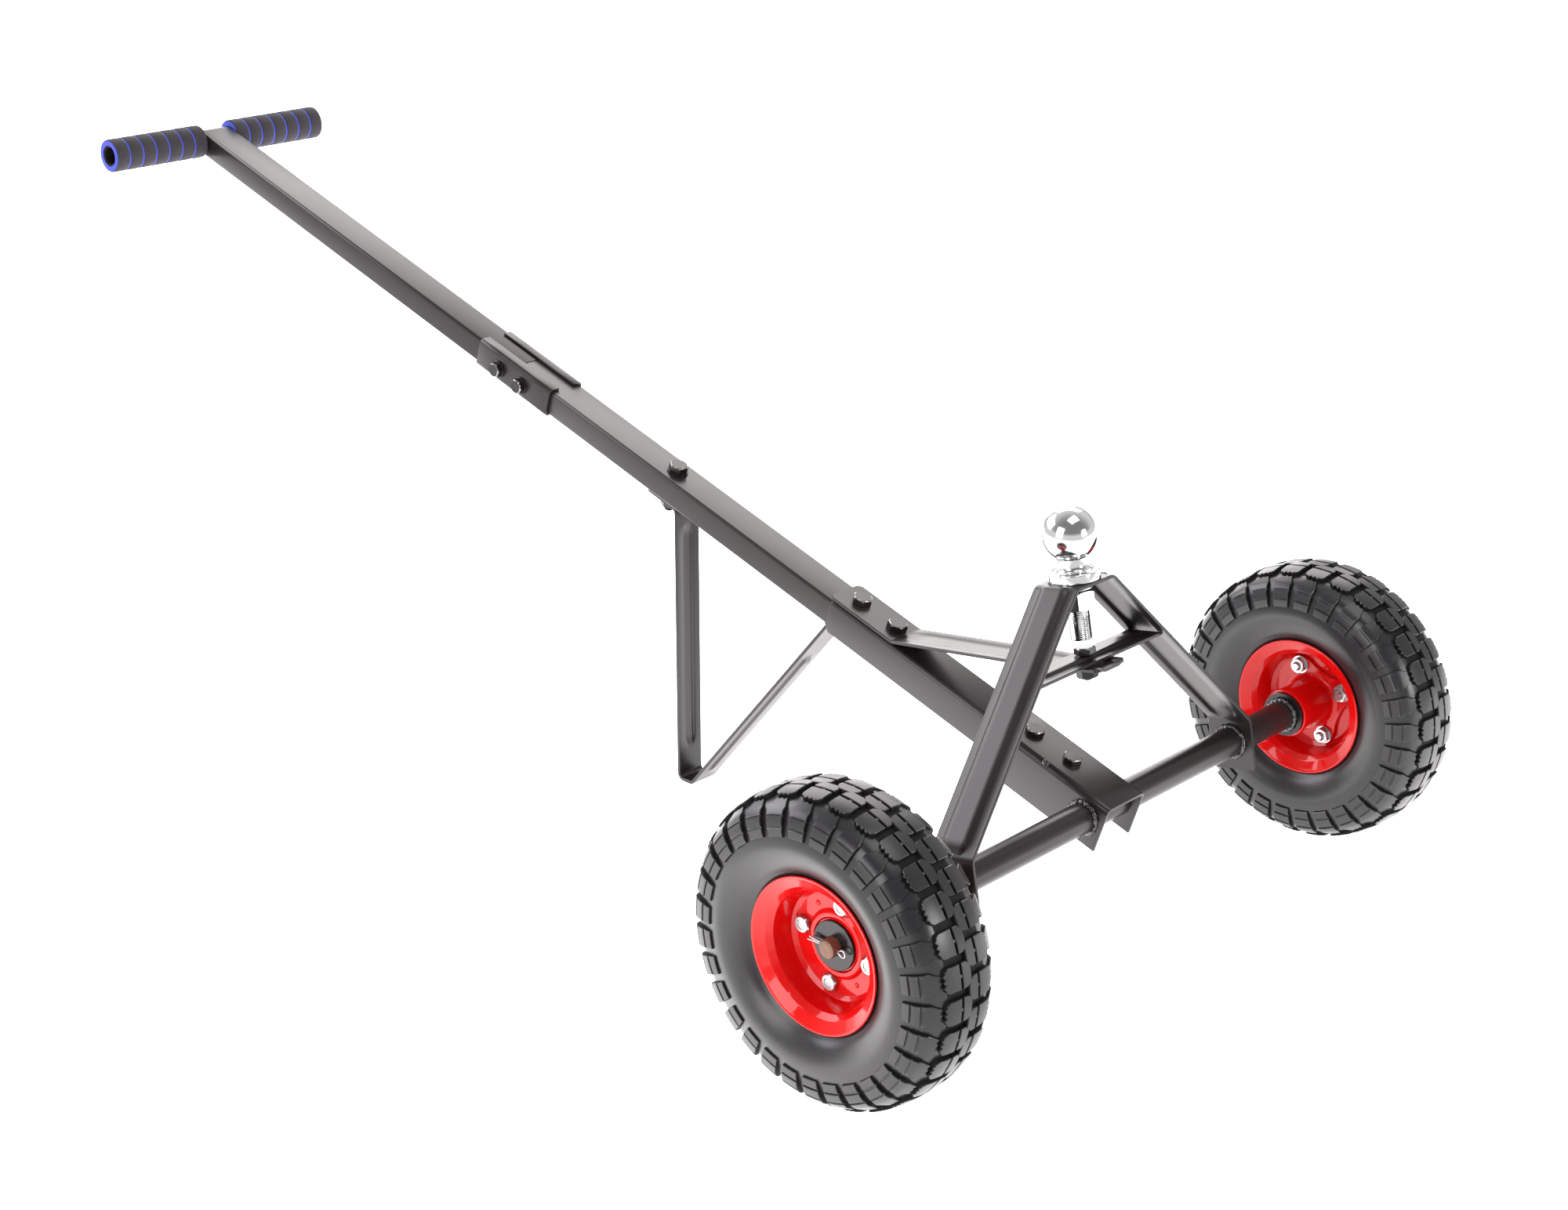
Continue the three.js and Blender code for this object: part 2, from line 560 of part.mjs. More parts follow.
// Stub shaft, washers and split pin: these stay still while the wheel turns.
function addAxleEnd(wheel, name) {
  const middle = TRACK / 2;
  const end = STUB_END - middle;
  const shoulder = AXLE_HALF - middle;
  const root = shoulder - 58;
  const pinAt = 11.2;
  const pinTurn = THREE.MathUtils.degToRad(-88);
  const stub = turnX([
    [0, root], [AXLE_BORE - GAP, root], [AXLE_BORE - GAP, shoulder], [STUB_RADIUS, shoulder],
    [STUB_RADIUS, end - 1], [STUB_RADIUS - 1, end], [0, end],
  ], 24);
  const pinHole = turnZ(rod(1.9, -20, 20), 10).rotateX(pinTurn).translate(pinAt, 0, 0);
  place(wheel, `${name}_axle_stub`, 'bare', cut(stub, pinHole));
  const outer = ring(STUB_RADIUS + GAP, WASHER_RADIUS, HUB_OUT + GAP, HUB_OUT + GAP + 2.4);
  place(wheel, `${name}_outer_washer`, 'bolt', turnX(outer, 24));
  const inner = ring(STUB_RADIUS + GAP, WASHER_RADIUS, shoulder + GAP, HUB_IN - GAP);
  place(wheel, `${name}_inner_washer`, 'bolt', turnX(inner, 24));
  const eye = new THREE.TorusGeometry(2.7, 1.2, 6, 12).rotateY(Math.PI / 2).translate(0, 0, 12.6);
  const pin = join(turnZ(rod(1.5, -22, 10.2), 10), eye).rotateX(pinTurn).translate(pinAt, 0, 0);
  place(wheel, `${name}_split_pin`, 'zinc', pin);
}

// ---- Assembly -------------------------------------------------------------------------------
addAxle();
addHandleTubes();
addChannel();
addBracket();
addSleeve();
addBrace();
addStand();
addHandleBolts();
addTHandle();
addFrame();
addCrossbar();
addBall();
addWheel(-1);
addWheel(1);

const dolly = new THREE.Group();
dolly.add(base);
const box = new THREE.Box3().setFromObject(dolly, true);
base.position.y = -(box.min.y + box.max.y) / 2;

export default dolly;
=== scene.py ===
"""Looks of a hand trailer dolly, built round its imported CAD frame.

Pieces are made in millimetres in the local frame that suits them (handle, A-frame, wheel)
and are then put into the row frame, in metres. The row frame is +X along the axle to the
right wheel, +Y back to the grips, +Z up.
"""
import json
import math

import bmesh
import bpy
from mathutils import Matrix, Vector


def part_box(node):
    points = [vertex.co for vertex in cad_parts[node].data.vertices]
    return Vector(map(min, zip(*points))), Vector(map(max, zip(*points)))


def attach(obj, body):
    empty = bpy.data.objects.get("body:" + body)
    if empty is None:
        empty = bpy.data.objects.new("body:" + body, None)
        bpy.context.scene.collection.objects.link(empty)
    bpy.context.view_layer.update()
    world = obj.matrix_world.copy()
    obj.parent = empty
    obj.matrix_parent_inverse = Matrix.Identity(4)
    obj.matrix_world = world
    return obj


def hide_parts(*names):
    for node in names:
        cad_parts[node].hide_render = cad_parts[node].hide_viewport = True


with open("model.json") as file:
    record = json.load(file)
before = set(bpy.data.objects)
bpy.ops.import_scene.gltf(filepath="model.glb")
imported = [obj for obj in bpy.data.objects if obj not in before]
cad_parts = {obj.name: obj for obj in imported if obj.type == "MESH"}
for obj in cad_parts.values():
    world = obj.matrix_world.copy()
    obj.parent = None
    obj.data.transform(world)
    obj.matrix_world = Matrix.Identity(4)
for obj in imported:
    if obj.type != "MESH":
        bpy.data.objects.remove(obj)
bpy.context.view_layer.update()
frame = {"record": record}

# ---- Local frames ---------------------------------------------------------------------------
HANDLE_TILT = 17.7                 # degrees above the floor
FRAME_LEAN = 11.5                  # degrees forward of upright
JOINTS = frame["record"]["behaviour"]["joints"]
HINGE = next(j["pos_m"] for j in JOINTS if j["name"] == "right_wheel_spin")
AXLE = Vector((0, HINGE[1], HINGE[2]))
MM = Matrix.Scale(0.001, 4)


def tilted(degrees):
    return Matrix.Translation(AXLE) @ Matrix.Rotation(math.radians(degrees), 4, "X") @ MM


BASE = tilted(0)
HANDLE = tilted(HANDLE_TILT)
A_FRAME = tilted(-FRAME_LEAN)


def wheel_frame(side):
    """+X points outward, away from the dolly's middle."""
    turn = Matrix.Rotation(math.pi if side < 0 else 0, 4, "Z")
    return Matrix.Translation((side * HINGE[0], AXLE.y, AXLE.z)) @ turn @ MM


def spot(node, where):
    """The middle of a CAD node, in a local frame."""
    low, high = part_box(node)
    return where.inverted() @ ((low + high) / 2)


# ---- Driving sizes, millimetres ---------------------------------------------------------------
GAP = 0.3
TUBE_WIDTH, TUBE_HEIGHT, TUBE_RISE = 38, 25, 6
TUBE_TOP = TUBE_RISE + TUBE_HEIGHT / 2
TUBE_BOTTOM = TUBE_RISE - TUBE_HEIGHT / 2
TUBE_START, TUBE_JOINT, TUBE_END = 16, 757.5, 1288
CHANNEL_WALL, BRACKET_WALL, SLEEVE_WALL = 1.8, 3, 2
CHANNEL_TOP = TUBE_TOP + GAP + CHANNEL_WALL
BRACKET_TOP = TUBE_TOP + GAP + BRACKET_WALL
BAR = 3
BRACE_TOP = CHANNEL_TOP + GAP + BAR
STAND_BAR = 4
STAND_LEVEL = TUBE_BOTTOM - GAP - STAND_BAR / 2
CROSS_HEIGHT, CROSS_RIB, CROSS_HALF = 131.2, 3.5, 17.5
SEAT_HEIGHT, SEAT_HALF = 199.9, 24.4
TAB_X, TAB_TOP, TAB_BOTTOM = 193.2, 21.3, -26
FRAME_WIDTH = 45.4
AXLE_RADIUS, AXLE_BORE, AXLE_HALF = 13.4, 10.9, 273.8
TRACK_HALF = HINGE[0] * 1000
STUB_RADIUS, STUB_END = 7.95, 345.7
T_CENTRE, T_RADIUS, T_HALF = 1290, 10.9, 131
GRIP_RADIUS, GRIP_START, GRIP_END = 17.4, 20, 133
M10 = {"shank": 4.8, "head": 9.4, "height": 6.4, "nut": 8.0, "pitch": 1.5}
M8 = {"shank": 3.8, "head": 7.6, "height": 5.3, "nut": 6.5, "pitch": 1.25}


# ---- Materials ----------------------------------------------------------------------------------
def node(tree, kind, **inputs):
    made = tree.nodes.new(kind)
    for key, value in inputs.items():
        made.inputs[key.replace("_", " ")].default_value = value
    return made


def material(name, color, roughness, metallic=0.0, tint=0.15, patch=35.0, spread=0.08,
             grain=900.0, bump=0.1, relief=0.0002, coat=0.0, coat_rough=0.08,
             edge_colour=None, edge_from=0.56, sheen=0.0, specular=0.5, edge_tint=1.0):
    """Paint, metal or rubber: patchy colour and roughness, a fine grain, and a lighter colour on
    sharp edges.
    """
    made = bpy.data.materials.new(name)
    made.use_nodes = True
    tree = made.node_tree
    link = tree.links.new
    shader = tree.nodes["Principled BSDF"]
    shader.inputs["Metallic"].default_value = metallic
    shader.inputs["Coat Weight"].default_value = coat
    shader.inputs["Coat Roughness"].default_value = coat_rough
    shader.inputs["Sheen Weight"].default_value = sheen
    shader.inputs["Specular IOR Level"].default_value = specular
    shader.inputs["Specular Tint"].default_value = (*[edge_tint] * 3, 1)
    place = tree.nodes.new("ShaderNodeTexCoord")
    patches = node(tree, "ShaderNodeTexNoise", Scale=patch, Detail=5.0, Roughness=0.6)
    link(place.outputs["Object"], patches.inputs["Vector"])
    mix = tree.nodes.new("ShaderNodeMix")
    mix.data_type = "RGBA"
    mix.inputs[6].default_value = (*[c * (1 - tint) for c in color], 1)
    mix.inputs[7].default_value = (*[min(c * (1 + tint), 1) for c in color], 1)
    link(patches.outputs["Fac"], mix.inputs[0])
    shade = mix.outputs[2]
    # Where pointiness is high, on sharp edges, the colour turns lighter.
    if edge_colour:
        edge = tree.nodes.new("ShaderNodeNewGeometry")
        ramp = node(tree, "ShaderNodeMapRange", From_Min=edge_from, From_Max=edge_from + 0.08)
        link(edge.outputs["Pointiness"], ramp.inputs["Value"])
        worn = tree.nodes.new("ShaderNodeMix")
        worn.data_type = "RGBA"
        worn.inputs[7].default_value = (*edge_colour, 1)
        link(ramp.outputs["Result"], worn.inputs[0])
        link(shade, worn.inputs[6])
        shade = worn.outputs[2]
    link(shade, shader.inputs["Base Color"])
    range_ = node(tree, "ShaderNodeMapRange", To_Min=roughness - spread, To_Max=roughness + spread)
    link(patches.outputs["Fac"], range_.inputs["Value"])
    link(range_.outputs["Result"], shader.inputs["Roughness"])
    fine = node(tree, "ShaderNodeTexNoise", Scale=grain, Detail=2.0)
    link(place.outputs["Object"], fine.inputs["Vector"])
    height = node(tree, "ShaderNodeBump", Strength=bump, Distance=relief)
    link(fine.outputs["Fac"], height.inputs["Height"])
    link(height.outputs["Normal"], shader.inputs["Normal"])
    return made


CHARCOAL = material("charcoal_paint", (0.0135, 0.0112, 0.0112), 0.31, tint=0.15, patch=14,
                    spread=0.04, grain=1500, bump=0.10, specular=0.42)
BLACK = material("black_steel", (0.008, 0.007, 0.007), 0.22, 0.0, tint=0.3, patch=160,
                 spread=0.08, grain=1400, bump=0.2, specular=0.38)
WORN = material("worn_steel", (0.26, 0.25, 0.24), 0.3, 0.8, tint=0.5, patch=500, spread=0.1,
                grain=1400, bump=0.2)
WELD = material("weld_bead", (0.018, 0.016, 0.016), 0.17, tint=0.4, patch=300, spread=0.06,
                grain=700, bump=0.3, coat=0.6, coat_rough=0.06)
ZINC = material("zinc_plate", (0.45, 0.45, 0.46), 0.30, 0.95, tint=0.12, patch=220, spread=0.06,
                grain=1200, bump=0.12)
CHROME = material("chrome", (0.70, 0.71, 0.72), 0.10, 1.0, tint=0.02, patch=60, spread=0.02,
                  grain=400, bump=0.02, edge_tint=0.5)
RED = material("red_enamel", (0.55, 0.0030, 0.0030), 0.28, tint=0.06, patch=40, spread=0.05,
               grain=110, bump=0.10, relief=0.0005, coat=0.65, coat_rough=0.06, specular=0.03)
# The tyre rubber turns lighter on its sharp edges.
RUBBER = material("tyre_rubber", (0.013, 0.012, 0.014), 0.30, tint=0.22, patch=30,
                  spread=0.06, grain=1600, bump=0.18, edge_colour=(0.06, 0.057, 0.06), edge_from=0.57)
# Painted shade: a darker, duller copy of the tyre rubber, for the grooves between the crown blocks
# and the walls of every tread plate.
SHADED_RUBBER = material("tyre_painted_shade", (0.010, 0.009, 0.010), 0.60, tint=0.25, patch=60,
                  spread=0.06, grain=1600, bump=0.2, specular=0.14)
FOAM = material("black_foam", (0.026, 0.022, 0.028), 0.95, tint=0.35, patch=500, spread=0.05,
                grain=2200, bump=0.9, relief=0.0004, sheen=0.1)
BLUE = material("blue_foam", (0.028, 0.050, 0.50), 0.7, tint=0.15, patch=400, spread=0.05,
                grain=2200, bump=0.5, relief=0.0003, sheen=0.1)
BEARING = material("bearing_steel", (0.62, 0.62, 0.63), 0.22, 1.0, tint=0.08, patch=120,
                   spread=0.08, grain=1500, bump=0.1)
BARE = material("browned_steel", (0.16, 0.09, 0.06), 0.45, 0.5, tint=0.45, patch=420, spread=0.14,
                grain=1300, bump=0.35)


# ---- Mesh making --------------------------------------------------------------------------------
class Shape:
    """Points, faces and paint numbers of one piece, in a local frame."""

    def __init__(self):
        self.points = []
        self.faces = []
        self.paints = []

    def grid(self, rings, wrap=True, close=False, caps=True, paint=0, at=None):
        """Skins rings of points. Paint is one number, or one for each band between rings."""
        first, n, count = len(self.points), len(rings[0]), len(rings)
        for ring in rings:
            self.points += [at @ Vector(p) if at else Vector(p) for p in ring]
        for i in range(count if close else count - 1):
            a, b = first + i * n, first + (i + 1) % count * n
            for k in range(n if wrap else n - 1):
                m = (k + 1) % n
                self.face((a + k, a + m, b + m, b + k), paint if isinstance(paint, int) else paint[i])
        if caps and not close:
            ends = (paint, paint) if isinstance(paint, int) else (paint[0], paint[-1])
            self.face(range(first + n - 1, first - 1, -1), ends[0])
            self.face(range(first + (count - 1) * n, first + count * n), ends[1])
        return self

    def face(self, corners, paint=0):
        self.faces.append(tuple(corners))
        self.paints.append(paint)


def piece(name, shape, where, body, nodes, slot, *materials, sharp=32, edge=0.0):
    """Turns a shape into a Blender object. Edge rounds its sharp edges, in millimetres."""
    mesh = bpy.data.meshes.new(name)
    mesh.from_pydata([where @ p for p in shape.points], [], shape.faces)
    mesh.polygons.foreach_set("material_index", shape.paints)
    for paint in materials:
        mesh.materials.append(paint)
    bm = bmesh.new()
    bm.from_mesh(mesh)
    bmesh.ops.recalc_face_normals(bm, faces=bm.faces)
    if edge:
        crisp = [e for e in bm.edges if e.is_manifold and e.calc_face_angle(0) > math.radians(40)]
        bmesh.ops.bevel(bm, geom=crisp, offset=edge / 1000, segments=2, profile=0.5,
                        affect="EDGES", clamp_overlap=True)
    bm.to_mesh(mesh)
    bm.free()
    mesh.polygons.foreach_set("use_smooth", [True] * len(mesh.polygons))
    mesh.set_sharp_from_angle(angle=math.radians(sharp))
    made = bpy.data.objects.new(name, mesh)
    bpy.context.scene.collection.objects.link(made)
    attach(made, body)
    if nodes:
        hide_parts(*nodes)
    return made


def part(node_name, shape, where, body, slot, *materials, **how):
    """The piece that stands for one CAD node."""
    return piece(node_name + "_v", shape, where, body, [node_name], slot, *materials, **how)


def turned(profile, segments=48):
    """Rings of an (r, z) profile turned about Z."""
    turns = [2 * math.pi * k / segments for k in range(segments)]
    return [[(r * math.cos(t), r * math.sin(t), z) for t in turns] for r, z in profile]


TO_X = Matrix.Rotation(math.pi / 2, 4, "Y")          # takes +Z to +X


def arc(centre, radius, start, finish, steps=8):
    """Points of an arc, by angles in degrees."""
    angles = [math.radians(start + (finish - start) * k / steps) for k in range(steps + 1)]
    return [(centre[0] + radius * math.cos(a), centre[1] + radius * math.sin(a)) for a in angles]


def rounded(points, radius, steps=6):
    """A bent line with each corner turned into an arc."""
    line = [Vector(p) for p in points]
    path = [line[0]]
    for before, corner, after in zip(line, line[1:], line[2:]):
        back, ahead = (before - corner).normalized(), (after - corner).normalized()
        half = back.angle(ahead) / 2
        centre = corner + (back + ahead).normalized() * radius / math.sin(half)
        start = corner + back * radius / math.tan(half) - centre
        turn = math.copysign(math.pi - 2 * half, -back.cross(ahead))
        path += [centre + Matrix.Rotation(turn * k / steps, 2) @ start for k in range(steps + 1)]
    path.append(line[-1])
    return path


def along(path, step=4.0):
    """(place, direction, distance) down a line, with the straight stretches divided."""
    fine = [path[0]]
    for a, b in zip(path, path[1:]):
        parts = max(1, round((b - a).length / step))
        fine += [a.lerp(b, k / parts) for k in range(1, parts + 1)]
    stations, distance = [], 0.0
    for i, p in enumerate(fine):
        distance += (p - fine[i - 1]).length if i else 0
        heading = (fine[min(i + 1, len(fine) - 1)] - fine[max(i - 1, 0)]).normalized()
        stations.append((p, heading, distance))
    return stations


def smooth(x):
    x = min(max(x, 0.0), 1.0)
    return x * x * (3 - 2 * x)


def ribbed_bar(shape, path, width, thick, lift, ribs=(), rib_half=12.0, ramp=4.0, rise=2.5,
               corner=3.0, run=14.0, end=None):
    """A flat bar down a path, with a pressed rib on the stretches named in ribs.
    lift(across, place) takes the bar's own coordinates to the local frame."""
    stations = along(path)
    length = stations[-1][2]
    rings = []
    for place, heading, s in stations:
        normal = Vector((-heading.y, heading.x))
        half = width / 2 - max(0.0, corner - min(s, length - s))
        press = max([smooth(min(s - a, b - s) / run) for a, b in ribs], default=0.0)
        inner = rib_half * (0.55 + 0.45 * press)
        across = [-half, -half + 0.5] + [-inner - ramp * k / 4 for k in (4, 3, 2, 1)]
        across += [inner * k / 3 for k in (-3, -2, -1, 0, 1, 2, 3)]
        across += [inner + ramp * k / 4 for k in (1, 2, 3, 4)] + [half - 0.5, half]

        def level(a, side):
            bulge = smooth((inner + ramp - abs(a)) / ramp) * rise
            edge = 0.5 if abs(a) > half - 0.1 else 0.0
            return press * bulge + side * (thick / 2 - edge)

        ring = [lift(a, place + normal * level(a, 1)) for a in across]
        ring += [lift(a, place + normal * level(a, -1)) for a in reversed(across)]
        rings.append(ring)
    shape.grid([end(i / (len(rings) - 1), ring) for i, ring in enumerate(rings)] if end else rings)
    return shape


def folded(points, radius, thick, steps=6):
    """Closed outline of a folded sheet, from the middle line of its section."""
    path = rounded(points, radius, steps)
    left, right = [], []
    for i, p in enumerate(path):
        into = (p - path[max(i - 1, 0)]).normalized()
        out = (path[min(i + 1, len(path) - 1)] - p).normalized()
        heading = (into + out).normalized()
        side = Vector((-heading.y, heading.x)) * thick / 2
        left.append(p + side)
        right.append(p - side)
    return left + right[::-1]


def extruded(shape, outline, start, finish, parts=1):
    """An (x, z) outline drawn along Y."""
    steps = [start + (finish - start) * k / parts for k in range(parts + 1)]
    return shape.grid([[(p[0], y, p[1]) for p in outline] for y in steps])


def round_rect(width, height, radius, rise):
    x, z = width / 2 - radius, height / 2 - radius
    corners = (((x, rise + z), 0), ((-x, rise + z), 90), ((-x, rise - z), 180), ((x, rise - z), 270))
    return [p for centre, angle in corners for p in arc(centre, radius, angle, angle + 90, 5)]


def bent_tube(shape, points, radius, segments=10, paint=0, at=None):
    """A round wire along a 3-D line."""
    line = [Vector(p) for p in points]
    rings, up = [], Vector((1, 0, 0))
    for i, p in enumerate(line):
        heading = (line[min(i + 1, len(line) - 1)] - line[max(i - 1, 0)]).normalized()
        side = heading.cross(up).normalized()
        top = side.cross(heading)
        turns = [2 * math.pi * k / segments for k in range(segments)]
        rings.append([p + radius * (math.cos(t) * side + math.sin(t) * top) for t in turns])
    return shape.grid(rings, paint=paint, at=at)


# ---- Fasteners ------------------------------------------------------------------------------------
HEX_STEPS = 48


def hex_rings(radius, levels):
    """Rings of a hexagon. Each level is (height, radius limit, chamfer slope sign)."""
    flat = radius * math.cos(math.pi / 6)
    rings = []
    for height, limit, slope in levels:
        ring = []
        for k in range(HEX_STEPS):
            t = 2 * math.pi * k / HEX_STEPS
            reach = flat / math.cos((t + math.pi / 6) % (math.pi / 3) - math.pi / 6)
            r = min(reach, limit * flat)
            drop = max(0.0, reach - 0.98 * flat) * math.tan(math.pi / 6) * slope
            ring.append((r * math.cos(t), r * math.sin(t), height - drop))
        rings.append(ring)
    return rings


def thread(shape, radius, pitch, start, finish, depth=0.0, at=None, segments=28):
    """A threaded rod with a true helix, chamfered at both ends."""
    depth = depth or 0.5 * pitch
    count = max(4, round((finish - start) / pitch * 5))
    rings = []
    for i in range(count + 1):
        z = start + (finish - start) * i / count
        ring = []
        for k in range(segments):
            t = 2 * math.pi * k / segments
            wave = abs((z / pitch - k / segments) % 1 * 2 - 1)
            end = max(0.0, 1 - min(z - start, finish - z) / 1.0)
            r = radius - max(depth * wave, end * 0.9)
            ring.append((r * math.cos(t), r * math.sin(t), z))
        rings.append(ring)
    return shape.grid(rings, at=at)


def bolt(shape, size, seat, tip, at, washer=0.0, worn=0):
    """A hex bolt whose head rests on seat and whose threaded shank ends at tip."""
    under = seat + (1.8 if washer else 0.0)
    if washer:
        rim = [(1, seat), (washer - 0.3, seat), (washer, seat + 0.3), (washer, under - 0.3),
               (washer - 0.3, under), (1, under)]
        shape.grid(turned(rim, 40), at=at)
    top = under + size["height"]
    dish = 0.0 if worn else 0.5
    levels = [(under, 0.97, 0), (under + 0.4, 2, 0), (top - 0.6, 2, 1), (top, 0.94, 0),
              (top, 0.62, 0), (top - dish, 0.56, 0), (top - dish, 0.1, 0)]
    shape.grid(hex_rings(size["head"], levels), paint=[0, 0, worn, 0, 0, 0], at=at)
    thread(shape, size["shank"], size["pitch"], tip, under, at=at)
    return shape


def nut(shape, size, top, at, hole=None):
    """A hex nut that hangs from top, chamfered on both faces."""
    hole = hole or size["shank"] - 0.2
    low = top - size["nut"]
    flat = size["head"] * math.cos(math.pi / 6)
    mouth = (hole + 0.8) / flat
    levels = [(low, mouth, 0), (low, 0.96, 0), (low, 2, -1), (top, 2, 1), (top, 0.96, 0),
              (top, mouth, 0), (top - 0.8, hole / flat, 0), (low + 0.8, hole / flat, 0)]
    shape.grid(hex_rings(size["head"], levels), close=True, at=at)
    return shape


def turned_to(x, y, z=0.0, turn=0.0):
    """A fastener's place: along Z at (x, y), its hexagon turned by some degrees."""
    return Matrix.Translation((x, y, z)) @ Matrix.Rotation(math.radians(turn), 4, "Z")


STRAP_TIP, BRACKET_TIP, STAND_TIP, SPLICE_TIP, CROSS_TIP, WHEEL_TIP = -24, -17, -24, -31, 114, -15
STAND_WASHER, SPLICE_WASHER = 10.2, 8.8


def make_handle_fasteners():
    """Each row: kind, end, size, head's seat, shank's tip, nut's top, washer radius, turn."""
    under_stand = STAND_LEVEL - STAND_BAR / 2 - GAP
    tops = (
        ("strap", "rear", M10, BRACE_TOP, STRAP_TIP, under_stand, 0, 12),
        ("strap", "front", M10, BRACE_TOP, STRAP_TIP, under_stand, 0, 33),
        ("bracket", "rear", M8, BRACKET_TOP, BRACKET_TIP, TUBE_BOTTOM - GAP, 0, 20),
        ("bracket", "front", M8, BRACKET_TOP, BRACKET_TIP, TUBE_BOTTOM - GAP, 0, 8),
        ("stand", "", M10, TUBE_TOP, STAND_TIP, under_stand, STAND_WASHER, 24),
    )
    for kind, end, size, seat, tip, nut_top, washer, turn in tops:
        bolt_node = "_".join(filter(None, (kind, "bolt", end)))
        nut_node = "_".join(filter(None, (kind, "nut", end)))
        y = spot(nut_node, HANDLE).y
        big = dict(size, head=size["head"] + (1.2 if kind == "bracket" else 0))
        shape = bolt(Shape(), big, seat, tip, turned_to(0, y, 0, turn), washer, worn=1)
        part(bolt_node, shape, HANDLE, "frame", "black_steel", BLACK, WORN)
        shape = nut(Shape(), size, nut_top, turned_to(0, y, 0, turn + 11))
        part(nut_node, shape, HANDLE, "frame", "black_steel", BLACK)
    wall = TUBE_WIDTH / 2 + GAP + SLEEVE_WALL
    for end, turn in (("upper", 15), ("lower", 5)):
        centre = spot(f"splice_nut_{end}", HANDLE)
        at = Matrix.Translation((0, centre.y, centre.z)) @ Matrix.Rotation(-math.pi / 2, 4, "Y")
        at = at @ Matrix.Rotation(math.radians(turn), 4, "Z")
        shape = bolt(Shape(), M8, wall, SPLICE_TIP, at, SPLICE_WASHER, worn=1)
        part(f"splice_bolt_{end}", shape, HANDLE, "frame", "black_steel", BLACK, WORN)
        shape = nut(Shape(), M8, -wall - GAP, at)
        part(f"splice_nut_{end}", shape, HANDLE, "frame", "black_steel", BLACK)


# ---- Handle ---------------------------------------------------------------------------------------
def hollow(shape, outside, inside, start, finish):
    """A tube with open ends, drawn along Y."""
    lips = ((outside, start), (outside, finish), (inside, finish), (inside, start))
    rings = [[(p[0], y, p[1]) for p in outline] for outline, y in lips]
    return shape.grid(rings, close=True)


def make_handle_tubes():
    outside = round_rect(TUBE_WIDTH, TUBE_HEIGHT, 3.0, TUBE_RISE)
    inside = round_rect(TUBE_WIDTH - 3.2, TUBE_HEIGHT - 3.2, 1.6, TUBE_RISE)
    for name, start, finish in (("lower", TUBE_START, TUBE_JOINT - 0.5),
                                ("upper", TUBE_JOINT + 0.5, TUBE_END)):
        shape = hollow(Shape(), outside, inside, start, finish)
        node_name = f"{name}_handle_tube"
        part(node_name, shape, HANDLE, "frame", "frame_paint", CHARCOAL, edge=0.3)


def upturned(half, top, bottom, wall, bend):
    """Section of an upside-down U."""
    x, z = half - wall / 2, top - wall / 2
    return folded([(-x, bottom), (-x, z), (x, z), (x, bottom)], bend, wall)


CHANNEL_LIP, BRACKET_LIP, BRACKET_HALF = -10.6, -23, 26


def make_channel():
    """Its lower corners at the rear are cut off."""
    half = TUBE_WIDTH / 2 + GAP + CHANNEL_WALL
    outline = upturned(half, CHANNEL_TOP, CHANNEL_LIP, CHANNEL_WALL, 3.0)
    rings = [[(p[0], y, max(p[1], CHANNEL_LIP + cut)) for p in outline]
             for y, cut in ((112, 0), (300, 0), (308, 0), (314, 6))]
    shape = Shape().grid(rings)
    part("lower_channel", shape, HANDLE, "frame", "frame_paint", CHARCOAL, edge=0.35)


def make_bracket():
    outline = upturned(BRACKET_HALF, BRACKET_TOP, BRACKET_LIP, BRACKET_WALL, 4.5)
    shape = extruded(Shape(), outline, -20, 107, 6)
    part("front_bracket", shape, HANDLE, "frame", "frame_paint", CHARCOAL, edge=0.5)


def make_sleeve():
    x = TUBE_WIDTH / 2 + GAP + SLEEVE_WALL / 2
    top = TUBE_TOP + GAP + SLEEVE_WALL / 2
    bottom = TUBE_BOTTOM - GAP - SLEEVE_WALL / 2
    section = [(-9, top), (-x, top), (-x, bottom), (x, bottom), (x, top), (10, top)]
    outline = folded(section, 3.0, SLEEVE_WALL)
    shape = extruded(Shape(), outline, 703.5, 810, 4)
    part("splice_sleeve", shape, HANDLE, "frame", "frame_paint", CHARCOAL, edge=0.35)


def make_brace():
    under = CROSS_HEIGHT - BAR - GAP
    turn = Matrix.Rotation(math.radians(-FRAME_LEAN - HANDLE_TILT), 2)
    level = BRACE_TOP - BAR / 2
    path = rounded([Vector((317, level)), Vector((240, level)), turn @ Vector((30, under)),
                    turn @ Vector((-29, under))], 7)
    length = along(path)[-1][2]
    shape = ribbed_bar(Shape(), path, 40, BAR, lambda a, p: (a, p.x, p.y),
                       ribs=[(70, length + 30)], rib_half=9, ramp=5, rise=1.4, corner=3.5, run=28)
    part("brace_bar", shape, HANDLE, "frame", "frame_paint", CHARCOAL)


def make_stand():
    def down(y, z):
        flat = Vector((y, z - AXLE.z * 1000))
        return Matrix.Rotation(math.radians(-HANDLE_TILT), 2) @ flat

    path = rounded([(562, STAND_LEVEL), (520, STAND_LEVEL), down(497, STAND_BAR / 2),
                    down(479.5, STAND_BAR / 2), (315, STAND_LEVEL), (236, STAND_LEVEL)], 6)
    foot = 310                           # from the rear end to the foot, along the bar
    shape = ribbed_bar(Shape(), path, 30, STAND_BAR - 0.6, lambda a, p: (a, p.x, p.y),
                       ribs=[(58, foot - 22), (foot + 40, foot + 245)], rib_half=4.5, ramp=3,
                       rise=2.2, corner=3, run=9)
    part("stand", shape, HANDLE, "frame", "frame_paint", CHARCOAL)


